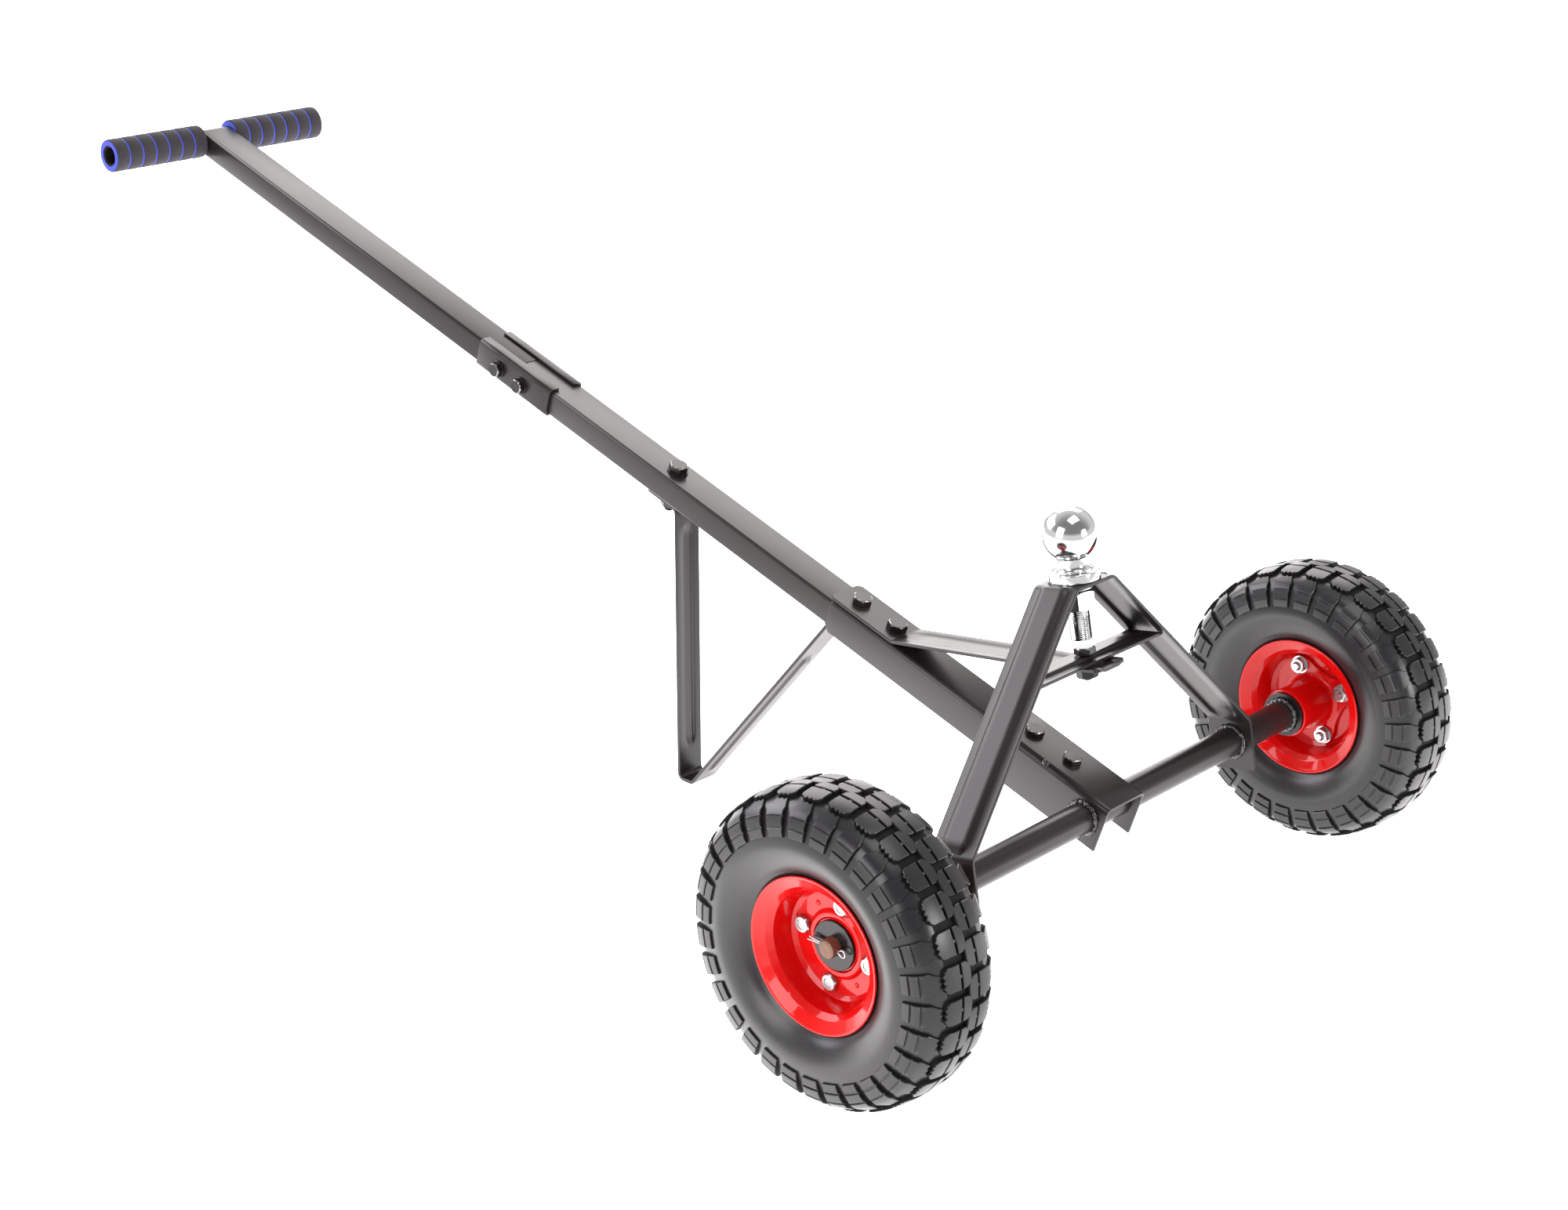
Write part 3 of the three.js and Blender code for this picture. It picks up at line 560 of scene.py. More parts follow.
def make_t_bar():
    bore = T_RADIUS - 1.6
    profile = [(bore, -T_HALF), (T_RADIUS, -T_HALF), (T_RADIUS, T_HALF), (bore, T_HALF)]
    at = Matrix.Translation((0, T_CENTRE, TUBE_RISE)) @ TO_X
    shape = Shape().grid(turned(profile, 40), close=True, at=at)
    part("t_bar", shape, HANDLE, "frame", "frame_paint", CHARCOAL)


def make_grip(side, name):
    """Foam sleeve: black bands with blue showing in the grooves and at both ends."""
    bands, groove, deep = 7, 1.5, 0.8
    band = (GRIP_END - GRIP_START - groove * (bands - 1)) / bands
    bore = T_RADIUS + 0.1
    profile, paints = [(bore, GRIP_START)], [1]
    for k in range(bands):
        x = GRIP_START + k * (band + groove)
        swell = [(0, -1.3), (0.35, -0.45), (1.2, -0.1), (band * 0.5, 0.0), (band - 1.2, -0.1),
                 (band - 0.35, -0.45), (band, -1.3 if k == bands - 1 else -deep)]
        swell[0] = (0, -1.3 if k == 0 else -deep)
        profile += [(GRIP_RADIUS + dr, x + dx) for dx, dr in swell]
        paints += [0] * 6 + [1]
    profile.append((bore, GRIP_END))
    at = Matrix.Translation((0, T_CENTRE, TUBE_RISE)) @ (TO_X if side > 0 else TO_X.inverted())
    shape = Shape().grid(turned(profile, 64), close=True, paint=paints + [0], at=at)
    made = part(name, shape, HANDLE, "frame", "foam", FOAM, BLUE, sharp=50)


# ---- A-frame and hitch ball -----------------------------------------------------------------------
def make_a_frame():
    seat = SEAT_HEIGHT - BAR / 2
    path = rounded([(-TAB_X, TAB_BOTTOM), (-TAB_X, TAB_TOP), (-SEAT_HALF, seat), (SEAT_HALF, seat),
                    (TAB_X, TAB_TOP), (TAB_X, TAB_BOTTOM)], 9)
    length = along(path)[-1][2]
    leg = (TAB_TOP - TAB_BOTTOM + 2, length / 2 - SEAT_HALF + 6)
    shape = ribbed_bar(Shape(), path, FRAME_WIDTH, BAR, lambda a, p: (p.x, a, p.y),
                       ribs=[leg, (length - leg[1], length - leg[0])], rib_half=10.5, ramp=4.5,
                       rise=3.0, corner=3, run=10)
    part("a_frame", shape, A_FRAME, "frame", "frame_paint", CHARCOAL)


def make_crossbar():
    slope = (TAB_X - SEAT_HALF) / (SEAT_HEIGHT - BAR / 2 - TAB_TOP)

    def reach(z):
        return SEAT_HALF + (SEAT_HEIGHT - BAR / 2 - z) * slope - 2.4

    path = [Vector((-90, CROSS_HEIGHT)), Vector((90, CROSS_HEIGHT))]

    def trimmed(t, ring):
        return [((2 * t - 1) * reach(p[2]), p[1], p[2]) for p in ring]

    shape = ribbed_bar(Shape(), path, 2 * CROSS_HALF, BAR, lambda a, p: (p.x, a, p.y),
                       ribs=[(6, 174)], rib_half=6.5, ramp=3, rise=CROSS_RIB * 0.8, corner=0, run=26,
                       end=trimmed)
    part("crossbar", shape, A_FRAME, "frame", "frame_paint", CHARCOAL)
    y = spot("cross_nut", A_FRAME).y
    seat = CROSS_HEIGHT + CROSS_RIB + BAR / 2
    shape = bolt(Shape(), M10, seat, CROSS_TIP, turned_to(0, y, 0, 35), worn=1)
    part("cross_bolt", shape, A_FRAME, "frame", "black_steel", BLACK, WORN)
    shape = nut(Shape(), M10, CROSS_HEIGHT - BAR * 1.5 - GAP - 2.6, turned_to(0, y, 0, 40))
    part("cross_nut", shape, A_FRAME, "frame", "black_steel", BLACK)


BALL_RADIUS, BALL_HEIGHT, BALL_NECK, BALL_FLANGE = 23.8, 239, 12.8, 22.2


def make_ball():
    seat = SEAT_HEIGHT
    profile = [(4, seat + 0.05), (BALL_FLANGE - 0.6, seat + 0.05), (BALL_FLANGE, seat + 0.6)]
    profile += [(BALL_FLANGE, seat + 7.2)] + arc((BALL_FLANGE - 1, seat + 7.2), 1.0, 20, 90, 3)
    profile += arc((BALL_NECK + 5.5, seat + 13.7), 5.5, 270, 180, 8)
    low = -math.degrees(math.acos(BALL_NECK / BALL_RADIUS))
    high = math.degrees(math.acos(8 / BALL_RADIUS))
    ball = arc((0, BALL_HEIGHT), BALL_RADIUS, low, high, 40)
    top = ball[-1][1]
    profile += [(BALL_NECK, ball[0][1] - 0.6)] + ball + [(7.4, top + 0.25), (0.5, top + 0.3)]
    shape = Shape().grid(turned(profile, 96))
    thread(shape, 9.5, 1.6, 149, seat + 1, depth=0.75, segments=48)
    part("hitch_ball", shape, A_FRAME, "frame", "chrome", CHROME, sharp=40)
    under = SEAT_HEIGHT - BAR - GAP
    section = ((9.8, under - 4.0), (14.6, under - 4.0), (14.6, under - 0.7), (9.8, under - 0.7))
    count = 40
    rings = []
    for k in range(count + 1):           # a split spring washer: one open turn
        t = math.radians(10 + 340 * k / count)
        climb = 0.54 * (k / count - 0.5)
        rings.append([(r * math.cos(t), r * math.sin(t), z + climb) for r, z in section])
    shape = Shape().grid(rings)
    part("ball_lock_washer", shape, A_FRAME, "frame", "zinc", ZINC, edge=0.3)
    size = {"shank": 9.5, "head": 16.5, "nut": 16.4}
    shape = nut(Shape(), size, under - 4.7 - GAP, turned_to(0, 0, 0, 12), hole=9.4)
    part("ball_nut", shape, A_FRAME, "frame", "chrome", CHROME)


# ---- Axle and welds -------------------------------------------------------------------------------
def make_axle():
    profile = [(AXLE_BORE, -AXLE_HALF), (AXLE_RADIUS, -AXLE_HALF), (AXLE_RADIUS, AXLE_HALF),
               (AXLE_BORE, AXLE_HALF)]
    shape = Shape().grid(turned(profile, 64), close=True, at=TO_X)
    part("axle_tube", shape, BASE, "frame", "frame_paint", CHARCOAL)


def weld_ring(shape, x, out, seed):
    """A lumpy bead round the axle. Out is the side that it spreads to along X."""
    turns, sides = 96, 8
    rings = []
    for k in range(turns):
        t = 2 * math.pi * k / turns
        lump = 0.5 * math.sin(17 * t + seed) + 0.35 * math.sin(31 * t + 2 * seed)
        lump += 0.5 * math.sin(5 * t + seed)
        fat = 2.7 + 0.75 * lump
        middle = x + out * (1.0 + 0.8 * math.sin(7 * t + seed))
        ring = []
        for j in range(sides):
            a = 2 * math.pi * j / sides
            r = AXLE_RADIUS + 0.6 + fat * math.cos(a) * 0.9
            ring.append((middle + fat * math.sin(a), r * math.cos(t), r * math.sin(t)))
        rings.append(ring)
    shape.grid(rings, close=True)


def make_welds():
    """Beads at the bracket, the A-frame's tabs and the axle's ends, and two tacks."""
    shape = Shape()
    for side in (-1, 1):
        weld_ring(shape, side * 26, side, 1.3 + side)
        weld_ring(shape, side * (TAB_X - BAR / 2), -side, 4.1 + side)
        weld_ring(shape, side * (TAB_X + BAR / 2), side, 2.2 - side)
        weld_ring(shape, side * (AXLE_HALF - 1.2), -side * 0.2, 5.7 + side)
    piece("axle_welds", shape, BASE, "frame", [], "black_steel", WELD, sharp=80)
    blob = Shape()
    for x, y, z, size in ((-24.2, 53, BRACKET_TOP - 0.6, 2.2), (-23.4, 49.5, BRACKET_TOP - 0.4, 1.6)):
        profile = arc((0, 0), size, -80, 80, 6)
        blob.grid(turned(profile, 16), at=Matrix.Translation((x, y, z)))
    piece("bracket_tack", blob, HANDLE, "frame", [], "black_steel", WELD, sharp=80)


# ---- Wheels ---------------------------------------------------------------------------------------
TYRE_RADIUS = 130
BLOCKS = 30
BLOCK_HALF, LUG_HALF = 10.2, 9.5
TREAD_END = 61.4                   # distance along the tyre's outside from its middle line
CROWN_POINTS = [(130, -9), (130, 0), (130, 9), (128.9, 19), (126.4, 27.5), (121.4, 35), (112.5, 40.4),
                (100, 42.3), (86, 41.2), (73.5, 35.9), (64.6, 28.6), (58, 25.2)]


class Crown:
    """The tyre's outside, by distance along it from its middle line."""

    def __init__(self, points, steps=10):
        line = [Vector(p) for p in points]
        self.path, self.arc = [line[1]], [0.0]
        for p0, p1, p2, p3 in zip(line, line[1:], line[2:], line[3:]):
            for k in range(1, steps + 1):
                t = k / steps
                bend = (2 * p0 - 5 * p1 + 4 * p2 - p3) * t * t + (3 * p1 - p0 - 3 * p2 + p3) * t ** 3
                p = (2 * p1 + (p2 - p0) * t + bend) / 2
                self.arc.append(self.arc[-1] + (p - self.path[-1]).length)
                self.path.append(p)

    def at(self, v):
        """(radius, outward distance) and the outward normal at a distance from the middle."""
        a, side = min(abs(v), self.arc[-1] - 0.01), 1 if v >= 0 else -1
        i = next(k for k, d in enumerate(self.arc) if d > a)
        p, q = self.path[i - 1], self.path[i]
        here = p.lerp(q, (a - self.arc[i - 1]) / (self.arc[i] - self.arc[i - 1]))
        heading = (q - p).normalized()
        return Vector((here.x, here.y * side)), Vector((heading.y, -heading.x * side))


CROWN = Crown(CROWN_POINTS)


def tread_depth(v):
    """How far the carcass lies under the tread's top. It fades out down the sidewall."""
    return 4.0 * (1 - smooth((abs(v) - 48) / 28)) - 0.3 * smooth((abs(v) - 20) / 20)


def on_tyre(u, v, sink, angle):
    """A point at u round the tyre and v across it, sunk under the tread's top."""
    here, normal = CROWN.at(v)
    here = here - normal * sink
    t = angle + u / TYRE_RADIUS
    return (here.y, here.x * math.cos(t), here.x * math.sin(t))


def zigzag(half, v, out, teeth=3):
    """A sawtooth edge from +half to -half."""
    steps = 2 * teeth
    return [(half - 2 * half * k / steps, v + (out if k % 2 else 0)) for k in range(steps + 1)]


def plate(outline, top=0.0, grow=0.5, soft=0.5):
    """One raised plate of the tread, flat: points (u, v, sink) and faces."""
    bm = bmesh.new()
    bm.faces.new([bm.verts.new((u, v, 0)) for u, v in outline])
    us, vs = [p[0] for p in outline], [p[1] for p in outline]
    middle = Vector(((min(us) + max(us)) / 2, (min(vs) + max(vs)) / 2, 0))
    for axis, low, high in ((0, min(us), max(us)), (1, min(vs), max(vs))):
        normal = Vector((1, 0, 0)) if axis == 0 else Vector((0, 1, 0))
        parts = max(1, round((high - low) / 4.5))
        for k in range(1, parts):
            cut = normal * (low + (high - low) * k / parts)
            bmesh.ops.bisect_plane(bm, geom=bm.verts[:] + bm.edges[:] + bm.faces[:],
                                   plane_co=cut, plane_no=normal, dist=0.05)
    bmesh.ops.inset_region(bm, faces=bm.faces[:], thickness=soft, use_even_offset=True,
                           use_boundary=True)
    for vert in bm.verts:
        vert.co.z = top + (soft if vert.is_boundary else 0)
    rim = [e for e in bm.edges if e.is_boundary]
    walls = bmesh.ops.extrude_edge_only(bm, edges=rim)["geom"]
    for vert in [g for g in walls if isinstance(g, bmesh.types.BMVert)]:
        away = (vert.co - middle).xy.normalized() * grow
        vert.co = (vert.co.x + away.x, vert.co.y + away.y, -1.0)
    bmesh.ops.edgeloop_fill(bm, edges=[e for e in bm.edges if e.is_boundary])
    bm.verts.index_update()
    points = [vert.co.copy() for vert in bm.verts]
    faces = []
    for face in bm.faces:                # in an order that is the same on every run
        corners = [vert.index for vert in face.verts]
        first = corners.index(min(corners))
        corners = corners[first:] + corners[:first]
        faces.append(min(corners, corners[:1] + corners[:0:-1]))
    bm.free()
    return points, sorted(faces)


def tread_plates():
    """The plates of one pitch of one side, by (u, v)."""
    h = BLOCK_HALF
    outer = [(-h, 10.2), (h, 10.2), (h, 21.8), (8.2, 24.4)] + zigzag(6.6, 24.4, 1.9)
    outer += [(-8.2, 24.4), (-h, 21.8)]
    inner = [(-h, 3.2), (-6.2, -1.3), (6.2, -1.3), (h, 3.2), (h, 8.0), (-h, 8.0)]
    bridge = [(-1.1, 7.4), (1.1, 7.4), (1.1, 10.8), (-1.1, 10.8)]
    w = LUG_HALF
    nose = [(-w, 43.9), (-w, 36.6)] + zigzag(5.4, 27.4, 1.7, 2)[::-1] + [(w, 36.6), (w, 43.9)]
    ribs = [[(-w, a), (w, a), (w, b), (-w, b)] for a, b in ((45.2, 53.1), (54.4, TREAD_END))]
    web = [(-w, 43), (w, 43), (w, TREAD_END - 0.6), (-w, TREAD_END - 0.6)]
    points, faces = plate(nose, soft=0.5)
    faded = [(u, v, sink + 1.8 * smooth((42 - v) / 9) if sink >= 0 else sink)
             for u, v, sink in points]
    return [plate(outer), plate(inner), plate(bridge, top=0.9, soft=0.3), (faded, faces),
            plate(ribs[0]), plate(ribs[1]), plate(web, top=1.2, soft=0.3)]


def carcass_loop():
    """Closed section of the tyre's body, without the tread's plates."""
    outside = []
    count = int(CROWN.arc[-1] / 2)
    for k in range(count):
        here, normal = CROWN.at(k * 2.0)
        outside.append(here - normal * max(0.0, tread_depth(k * 2.0)))
    outside += [Vector((56.5, 24.4)), Vector((53.3, 21.2))]
    inside = [Vector((p.x, -p.y)) for p in outside[1:]]
    return outside + inside[::-1]


TREAD = tread_plates()
SECTION = carcass_loop()
TYRE_TURNS = 180
# Within this half width the carcass takes the painted-shade rubber.
PAINTED_SHADE_HALF = 22.0                 # the grooves between the blocks, each side of the middle plane


def make_tyre(name, where, phases):
    shape = Shape()
    rings = []
    for k in range(TYRE_TURNS):
        t = 2 * math.pi * k / TYRE_TURNS
        rings.append([(p.y, p.x * math.cos(t), p.x * math.sin(t)) for p in SECTION])
    shape.grid(rings, close=True)
    # Painted shade: the carcass between the crown blocks takes the darker, duller rubber.
    for i, corners in enumerate(shape.faces):
        if all(abs(shape.points[c].x) < PAINTED_SHADE_HALF for c in corners):
            shape.paints[i] = 1
    for half in (1, -1):
        for k in range(BLOCKS):
            angle = phases[half] + 2 * math.pi * k / BLOCKS
            for points, faces in TREAD:
                first = len(shape.points)
                for u, v, sink in points:
                    deep = tread_depth(v) + 0.8 if sink < 0 else sink
                    shape.points.append(Vector(on_tyre(u, v * half, deep, angle)))
                for corners in faces:
                    # Painted shade: the walls of the tread plates take the darker, duller rubber.
                    wall = any(points[c][2] < 0 for c in corners)
                    shape.face([first + c for c in corners], 1 if wall else 0)
    part(f"{name}_tyre", shape, where, f"{name}_wheel", "tyre", RUBBER, SHADED_RUBBER, sharp=30)


RIM_LINE = [(22.9, 3.8), (25.4, 4.4), (28.6, 1.4), (42.6, 1.4), (46.8, 4.6), (50.4, 21.0),
            (54.4, 25.4), (61.4, 29.2), (63.4, 30.6)]
INNER_RIM_LINE = [(22.9, 1.4)] + RIM_LINE[3:]
BOLT_CIRCLE = 34.5


def rim_section(line):
    """Closed section of a pressed rim half, from its middle line."""
    path = [line[0]] + [tuple(p) for p in rounded(line, 1.6, 4)[1:-1]] + [line[-1]]
    steps = [Vector(p) for p in path]
    left, right = [], []
    for i, p in enumerate(steps):
        heading = (steps[min(i + 1, len(steps) - 1)] - steps[max(i - 1, 0)]).normalized()
        side = Vector((-heading.y, heading.x)) * 1.1
        left.append(p + side)
        right.append(p - side)
    tip, root = steps[-1], steps[0]
    cap, inset = (tip - steps[-2]).normalized() * 0.8, Vector((0.3, 0))
    lip = [tip + cap + (edge - tip) * 0.5 for edge in (left[-1], right[-1])]
    bore = [root + (edge - root) * 0.4 - inset for edge in (right[0], left[0])]
    return left + lip + right[::-1] + bore


def make_rims(name, where, phase):
    for half, line, side in (("outer", RIM_LINE, 1), ("inner", INNER_RIM_LINE, -1)):
        shape = Shape()
        profile = [(p.x, p.y * side) for p in rim_section(line)]
        rings = [list(r) for r in zip(*turned(profile, 120))]
        shape.grid(rings, close=True, at=TO_X)
        for turn in (45, 225):           # small pressed pips between the bolts
            t = phase + math.radians(turn)
            pip = [(2.3, 2.4), (2.0, 3.0), (1.2, 3.5), (0.3, 3.6)]
            at = Matrix.Translation((0, BOLT_CIRCLE * math.cos(t), BOLT_CIRCLE * math.sin(t)))
            at = at @ (TO_X if side > 0 else TO_X.inverted())
            shape.grid(turned(pip, 20), at=at)
        part(f"{name}_{half}_rim", shape, where, f"{name}_wheel", "red_paint", RED, sharp=45)


HUB_RADIUS, HUB_IN, HUB_OUT = 22, -52, 4.5
BEARING_RADIUS = 17.3


def make_hub(name, where, phase):
    """A barrel with a four-lobed flange between the rim halves' bolts."""
    back, front, bore = -6.0, -3.0, BEARING_RADIUS + 0.2
    profile = [(bore, HUB_OUT), (HUB_RADIUS - 0.6, HUB_OUT), (HUB_RADIUS, HUB_OUT - 0.6)]
    profile += [(HUB_RADIUS, back + 1)] + arc((HUB_RADIUS + 5, back - 5), 5, 90, 180, 6)
    profile += [(HUB_RADIUS, HUB_IN + 0.8), (HUB_RADIUS - 0.8, HUB_IN), (bore, HUB_IN)]
    shape = Shape().grid(turned(profile, 72), close=True, at=TO_X)
    count = 144
    waist, reach = 30.5, 42.6
    outline = []
    for k in range(count):
        t = 2 * math.pi * k / count
        lobe = (0.5 + 0.5 * math.cos(4 * (t - phase))) ** 1.5
        r = waist + (reach - waist) * lobe
        outline.append((r * math.cos(t), r * math.sin(t)))
    rings = [[(x, y * s, z * s) for y, z in outline] for x, s in
             ((front, 0.6), (front, 1), (back + 0.5, 1), (back, 0.985), (back, 0.6))]
    shape.grid(rings, close=True)
    part(f"{name}_hub", shape, where, f"{name}_wheel", "red_paint", RED, sharp=40)


def make_bearing(name, where, end, start, finish):
    """Outer race, dust shield and inner race in one turned ring."""
    sunk, bore = 0.5, STUB_RADIUS + 0.15
    half = [(bore, 0.2), (10.6, 0.0), (10.8, sunk), (14.2, sunk), (14.4, 0.0), (BEARING_RADIUS, 0.3)]
    profile = [(r, start + x) for r, x in half] + [(r, finish - x) for r, x in half[::-1]]
    shape = Shape().grid(turned(profile, 64), close=True, at=TO_X)
    node_name = f"{name}_{end}_bearing"
    part(node_name, shape, where, f"{name}_wheel", "bearing_steel", BEARING)


def make_wheel_bolts(name, where, phase):
    """Each with its nut and washer, which one CAD node holds."""
    size = dict(M8, height=4.6, nut=6.0)
    for k in range(4):
        t = phase + k * math.pi / 2
        at = Matrix.Translation((0, BOLT_CIRCLE * math.cos(t), BOLT_CIRCLE * math.sin(t))) @ TO_X
        at = at @ Matrix.Rotation(0.35 + 0.5 * k, 4, "Z")
        shape = bolt(Shape(), size, 2.5, WHEEL_TIP, at)
        nut(shape, size, -6.2, at)
        rim = [(4.5, -6.0), (8.4, -6.0), (8.4, -6.9), (4.5, -6.9)]
        shape.grid(turned(rim, 32), close=True, at=at)
        part(f"{name}_wheel_bolt_{k + 1}", shape, where, f"{name}_wheel", "zinc", ZINC)


STUB_ROOT = 58                     # length of the stub inside the axle tube
WASHER_RADIUS = 20.5


def make_axle_end(side, name, where):
    """The stub axle, its two washers and the split pin. They don't turn with the wheel."""
    end, shoulder = STUB_END - TRACK_HALF, AXLE_HALF - TRACK_HALF
    root = AXLE_BORE - GAP
    profile = [(root, shoulder - STUB_ROOT), (root, shoulder), (STUB_RADIUS, shoulder),
               (STUB_RADIUS, end - 1.1), (STUB_RADIUS - 0.4, end - 0.4), (STUB_RADIUS - 1.2, end),
               (2.0, end + 0.05), (0.4, end - 0.4)]
    shape = Shape().grid(turned(profile, 48), at=TO_X)
    part(f"{name}_axle_stub", shape, where, "frame", "bare_steel", BARE)
    for node_name, start, finish in (("outer_washer", HUB_OUT + GAP, HUB_OUT + GAP + 2.4),
                                     ("inner_washer", shoulder + GAP, HUB_IN - GAP)):
        r, bore = WASHER_RADIUS, STUB_RADIUS + 0.2
        profile = [(bore, start), (r - 0.5, start), (r, start + 0.5), (r, finish - 0.5),
                   (r - 0.5, finish), (bore, finish)]
        shape = Shape().grid(turned(profile, 72), close=True, at=TO_X)
        part(f"{name}_{node_name}", shape, where, "frame", "black_steel", BLACK)
    rear = side                          # local Y points the other way on the turned left wheel
    eye, turns = 2.9, [math.radians(-140 + 28 * k) for k in range(11)]
    loop = [(-12.9 - eye * math.cos(a), eye * math.sin(a)) for a in turns]
    legs = [(22.5, -1.9), (16, -0.95), (7, -0.8), (-7, -0.8), (-9.4, -1.2)]
    line = legs + loop + [(y, -z) for y, z in legs[:0:-1]] + [(21, 1.3)]
    tilt = Matrix.Rotation(math.radians(3), 2)
    points = [(11.2, rear * p.x, p.y) for p in (tilt @ Vector(q) for q in line)]
    shape = bent_tube(Shape(), points, 0.85, 10)
    part(f"{name}_split_pin", shape, where, "frame", "zinc", ZINC, sharp=60)


def make_wheel(side, name, phase, tread):
    """Phase turns the bolts and tread turns the blocks of each half, in degrees."""
    where = wheel_frame(side)
    phase = math.radians(phase)
    phases = {half: math.radians(angle) for half, angle in tread.items()}
    make_tyre(name, where, phases)
    make_rims(name, where, phase)
    make_hub(name, where, phase)
    make_bearing(name, where, "outer", HUB_OUT - 11, HUB_OUT)
    make_bearing(name, where, "inner", HUB_IN, HUB_IN + 11)
    make_wheel_bolts(name, where, phase)
    make_axle_end(side, name, where)


# ---- Stage ----------------------------------------------------------------------------------------
LENS, SENSOR = 60.43, 36.0
CAMERA_PLACE = AXLE + Vector((-1.6525, -1.1853, 0.9649))
CAMERA_TARGET = AXLE + Vector((-0.01905, 0.35263, 0.09416))
CAMERA_ROLL = 0.313                # degrees
FLOOR_RADIUS = 12.0


def make_camera():
    data = bpy.data.cameras.new("camera")
    data.lens, data.sensor_width, data.sensor_fit = LENS, SENSOR, "HORIZONTAL"
    data.clip_start, data.clip_end = 0.05, 50
    camera = bpy.data.objects.new("camera", data)
    bpy.context.scene.collection.objects.link(camera)
    look = (CAMERA_TARGET - CAMERA_PLACE).to_track_quat("-Z", "Y").to_matrix().to_4x4()
    roll = Matrix.Rotation(math.radians(CAMERA_ROLL), 4, "Z")
    camera.matrix_world = Matrix.Translation(CAMERA_PLACE) @ look @ roll
    bpy.context.scene.camera = camera


def area_light(name, place, target, size, power, color=(1, 1, 1)):
    data = bpy.data.lights.new(name, "AREA")
    data.shape, data.size, data.size_y = "RECTANGLE", size[0], size[1]
    data.energy, data.color = power, color
    lamp = bpy.data.objects.new(name, data)
    bpy.context.scene.collection.objects.link(lamp)
    aim = (Vector(target) - Vector(place)).to_track_quat("-Z", "Y").to_matrix().to_4x4()
    lamp.matrix_world = Matrix.Translation(place) @ aim


def make_world():
    """A bright sweep behind the dolly, a dimmer room in front, and a bright horizon."""
    world = bpy.data.worlds.new("studio")
    bpy.context.scene.world = world
    world.use_nodes = True
    tree = world.node_tree
    link = tree.links.new
    place = tree.nodes.new("ShaderNodeTexCoord")
    toward = tree.nodes.new("ShaderNodeVectorMath")
    toward.operation = "DOT_PRODUCT"
    toward.inputs[1].default_value = (0.64, 0.72, -0.25)
    link(place.outputs["Generated"], toward.inputs[0])
    ramp = node(tree, "ShaderNodeMapRange", From_Min=-0.6, From_Max=0.7, To_Min=0.28, To_Max=1.05)
    ramp.interpolation_type = "SMOOTHSTEP"
    link(toward.outputs["Value"], ramp.inputs["Value"])
    parts = tree.nodes.new("ShaderNodeSeparateXYZ")
    link(place.outputs["Generated"], parts.inputs[0])
    haze = node(tree, "ShaderNodeMapRange", From_Min=0.14, From_Max=0.36, To_Min=1.0, To_Max=0.0)
    haze.interpolation_type = "SMOOTHSTEP"
    link(parts.outputs["Z"], haze.inputs["Value"])
    mix = node(tree, "ShaderNodeMix", B=0.9)
    link(haze.outputs["Result"], mix.inputs["Factor"])
    link(ramp.outputs["Result"], mix.inputs["A"])
    back = tree.nodes["Background"]
    back.inputs["Color"].default_value = (1, 0.985, 0.975, 1)
    link(mix.outputs["Result"], back.inputs["Strength"])


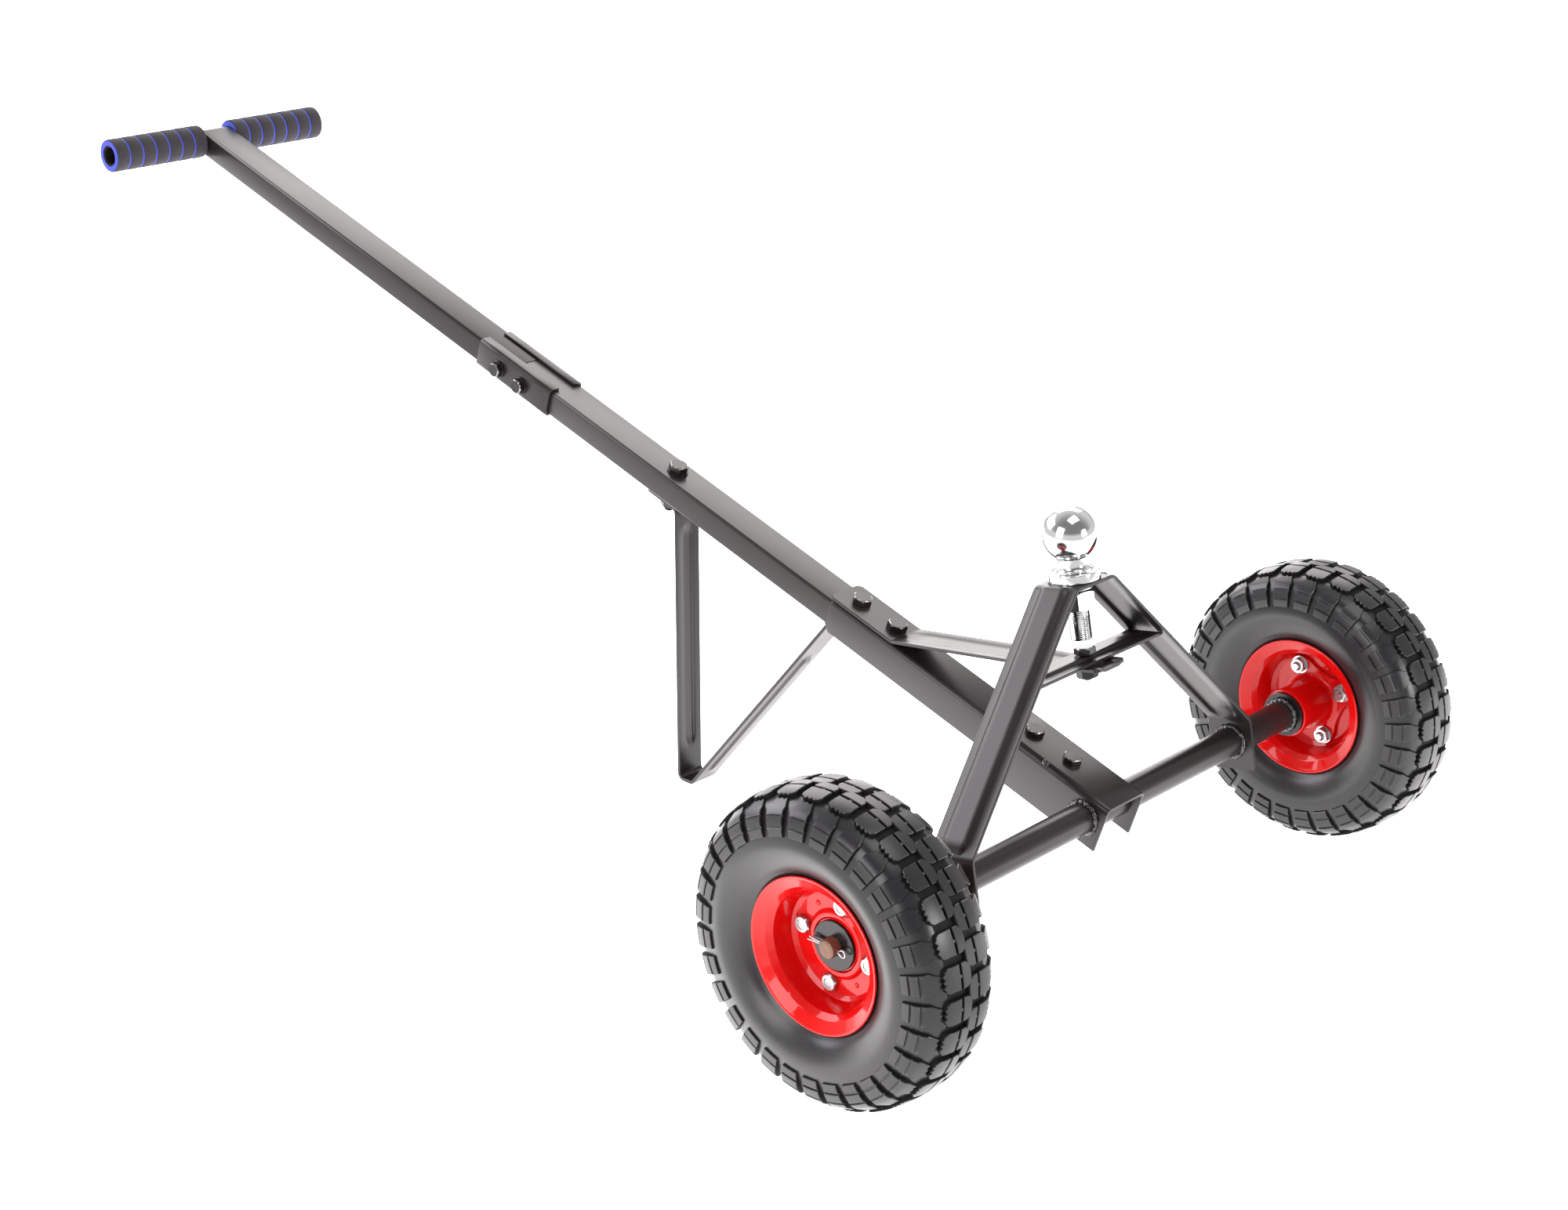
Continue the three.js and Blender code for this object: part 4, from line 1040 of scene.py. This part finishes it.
def make_stage():
    """A white floor that glows most on the right and round the left wheel, and six soft boxes."""
    scene = bpy.context.scene
    scene.view_settings.view_transform = "Standard"
    scene.view_settings.look = "None"
    mesh = bpy.data.meshes.new("floor")
    turns = [k * math.pi / 32 for k in range(64)]
    rim = [(FLOOR_RADIUS * math.cos(t), FLOOR_RADIUS * math.sin(t), 0) for t in turns]
    mesh.from_pydata(rim, [], [tuple(range(64))])
    floor = bpy.data.objects.new("floor", mesh)
    scene.collection.objects.link(floor)
    paint = bpy.data.materials.new("pale_floor")
    paint.use_nodes = True
    shader = paint.node_tree.nodes["Principled BSDF"]
    shader.inputs["Base Color"].default_value = (0.86, 0.855, 0.85, 1)
    shader.inputs["Roughness"].default_value = 0.7
    shader.inputs["Emission Color"].default_value = (1, 0.99, 0.985, 1)
    tree = paint.node_tree
    place = tree.nodes.new("ShaderNodeTexCoord")
    toward = tree.nodes.new("ShaderNodeVectorMath")
    toward.operation = "DOT_PRODUCT"
    toward.inputs[1].default_value = (1, 0.2, 0)
    tree.links.new(place.outputs["Object"], toward.inputs[0])
    glow = node(tree, "ShaderNodeMapRange", From_Min=-0.35, From_Max=0.35, To_Min=0.35, To_Max=2.0)
    glow.interpolation_type = "SMOOTHSTEP"
    tree.links.new(toward.outputs["Value"], glow.inputs["Value"])
    apart = tree.nodes.new("ShaderNodeVectorMath")
    apart.operation = "DISTANCE"
    apart.inputs[1].default_value = (-0.35, -0.3, 0)
    tree.links.new(place.outputs["Object"], apart.inputs[0])
    pool = node(tree, "ShaderNodeMapRange", From_Min=0.1, From_Max=0.6, To_Min=2.6, To_Max=0.0)
    pool.interpolation_type = "SMOOTHSTEP"
    tree.links.new(apart.outputs["Value"], pool.inputs["Value"])
    both = tree.nodes.new("ShaderNodeMath")
    tree.links.new(glow.outputs["Result"], both.inputs[0])
    tree.links.new(pool.outputs["Result"], both.inputs[1])
    tree.links.new(both.outputs["Value"], shader.inputs["Emission Strength"])
    mesh.materials.append(paint)
    make_world()
    area_light("right_back", (2.1, 1.4, 2.4), (0, 0, 0.2), (3.0, 1.8), 62, (1, 0.955, 0.935))
    area_light("back", (-0.9, 2.3, 1.8), (-0.1, -0.5, 0.2), (2.8, 1.6), 72, (0.98, 0.955, 1))
    area_light("low_back", (2.7, 2.7, 0.95), (0, -0.3, 0.2), (2.6, 0.8), 32, (1, 0.965, 0.95))
    area_light("left", (-2.8, -0.4, 1.3), (-0.2, -0.5, 0.1), (1.4, 2.0), 48, (1, 0.975, 0.98))
    area_light("top", (0, -1.2, 3.0), (0, -0.4, 0), (1.8, 1.2), 22)
    area_light("front", (0.55, -3.2, 1.1), (-0.3, -0.6, 0.15), (0.9, 1.0), 36)


# ---- Assembly -------------------------------------------------------------------------------------
make_camera()
make_handle_tubes()
make_channel()
make_bracket()
make_sleeve()
make_brace()
make_stand()
make_handle_fasteners()
make_t_bar()
make_grip(-1, "left_grip")
make_grip(1, "right_grip")
make_a_frame()
make_crossbar()
make_ball()
make_axle()
make_welds()
make_wheel(-1, "left", 81, {1: 10.6, -1: 4.6})
make_wheel(1, "right", 63.6, {1: 0.8, -1: 6.8})
make_stage()
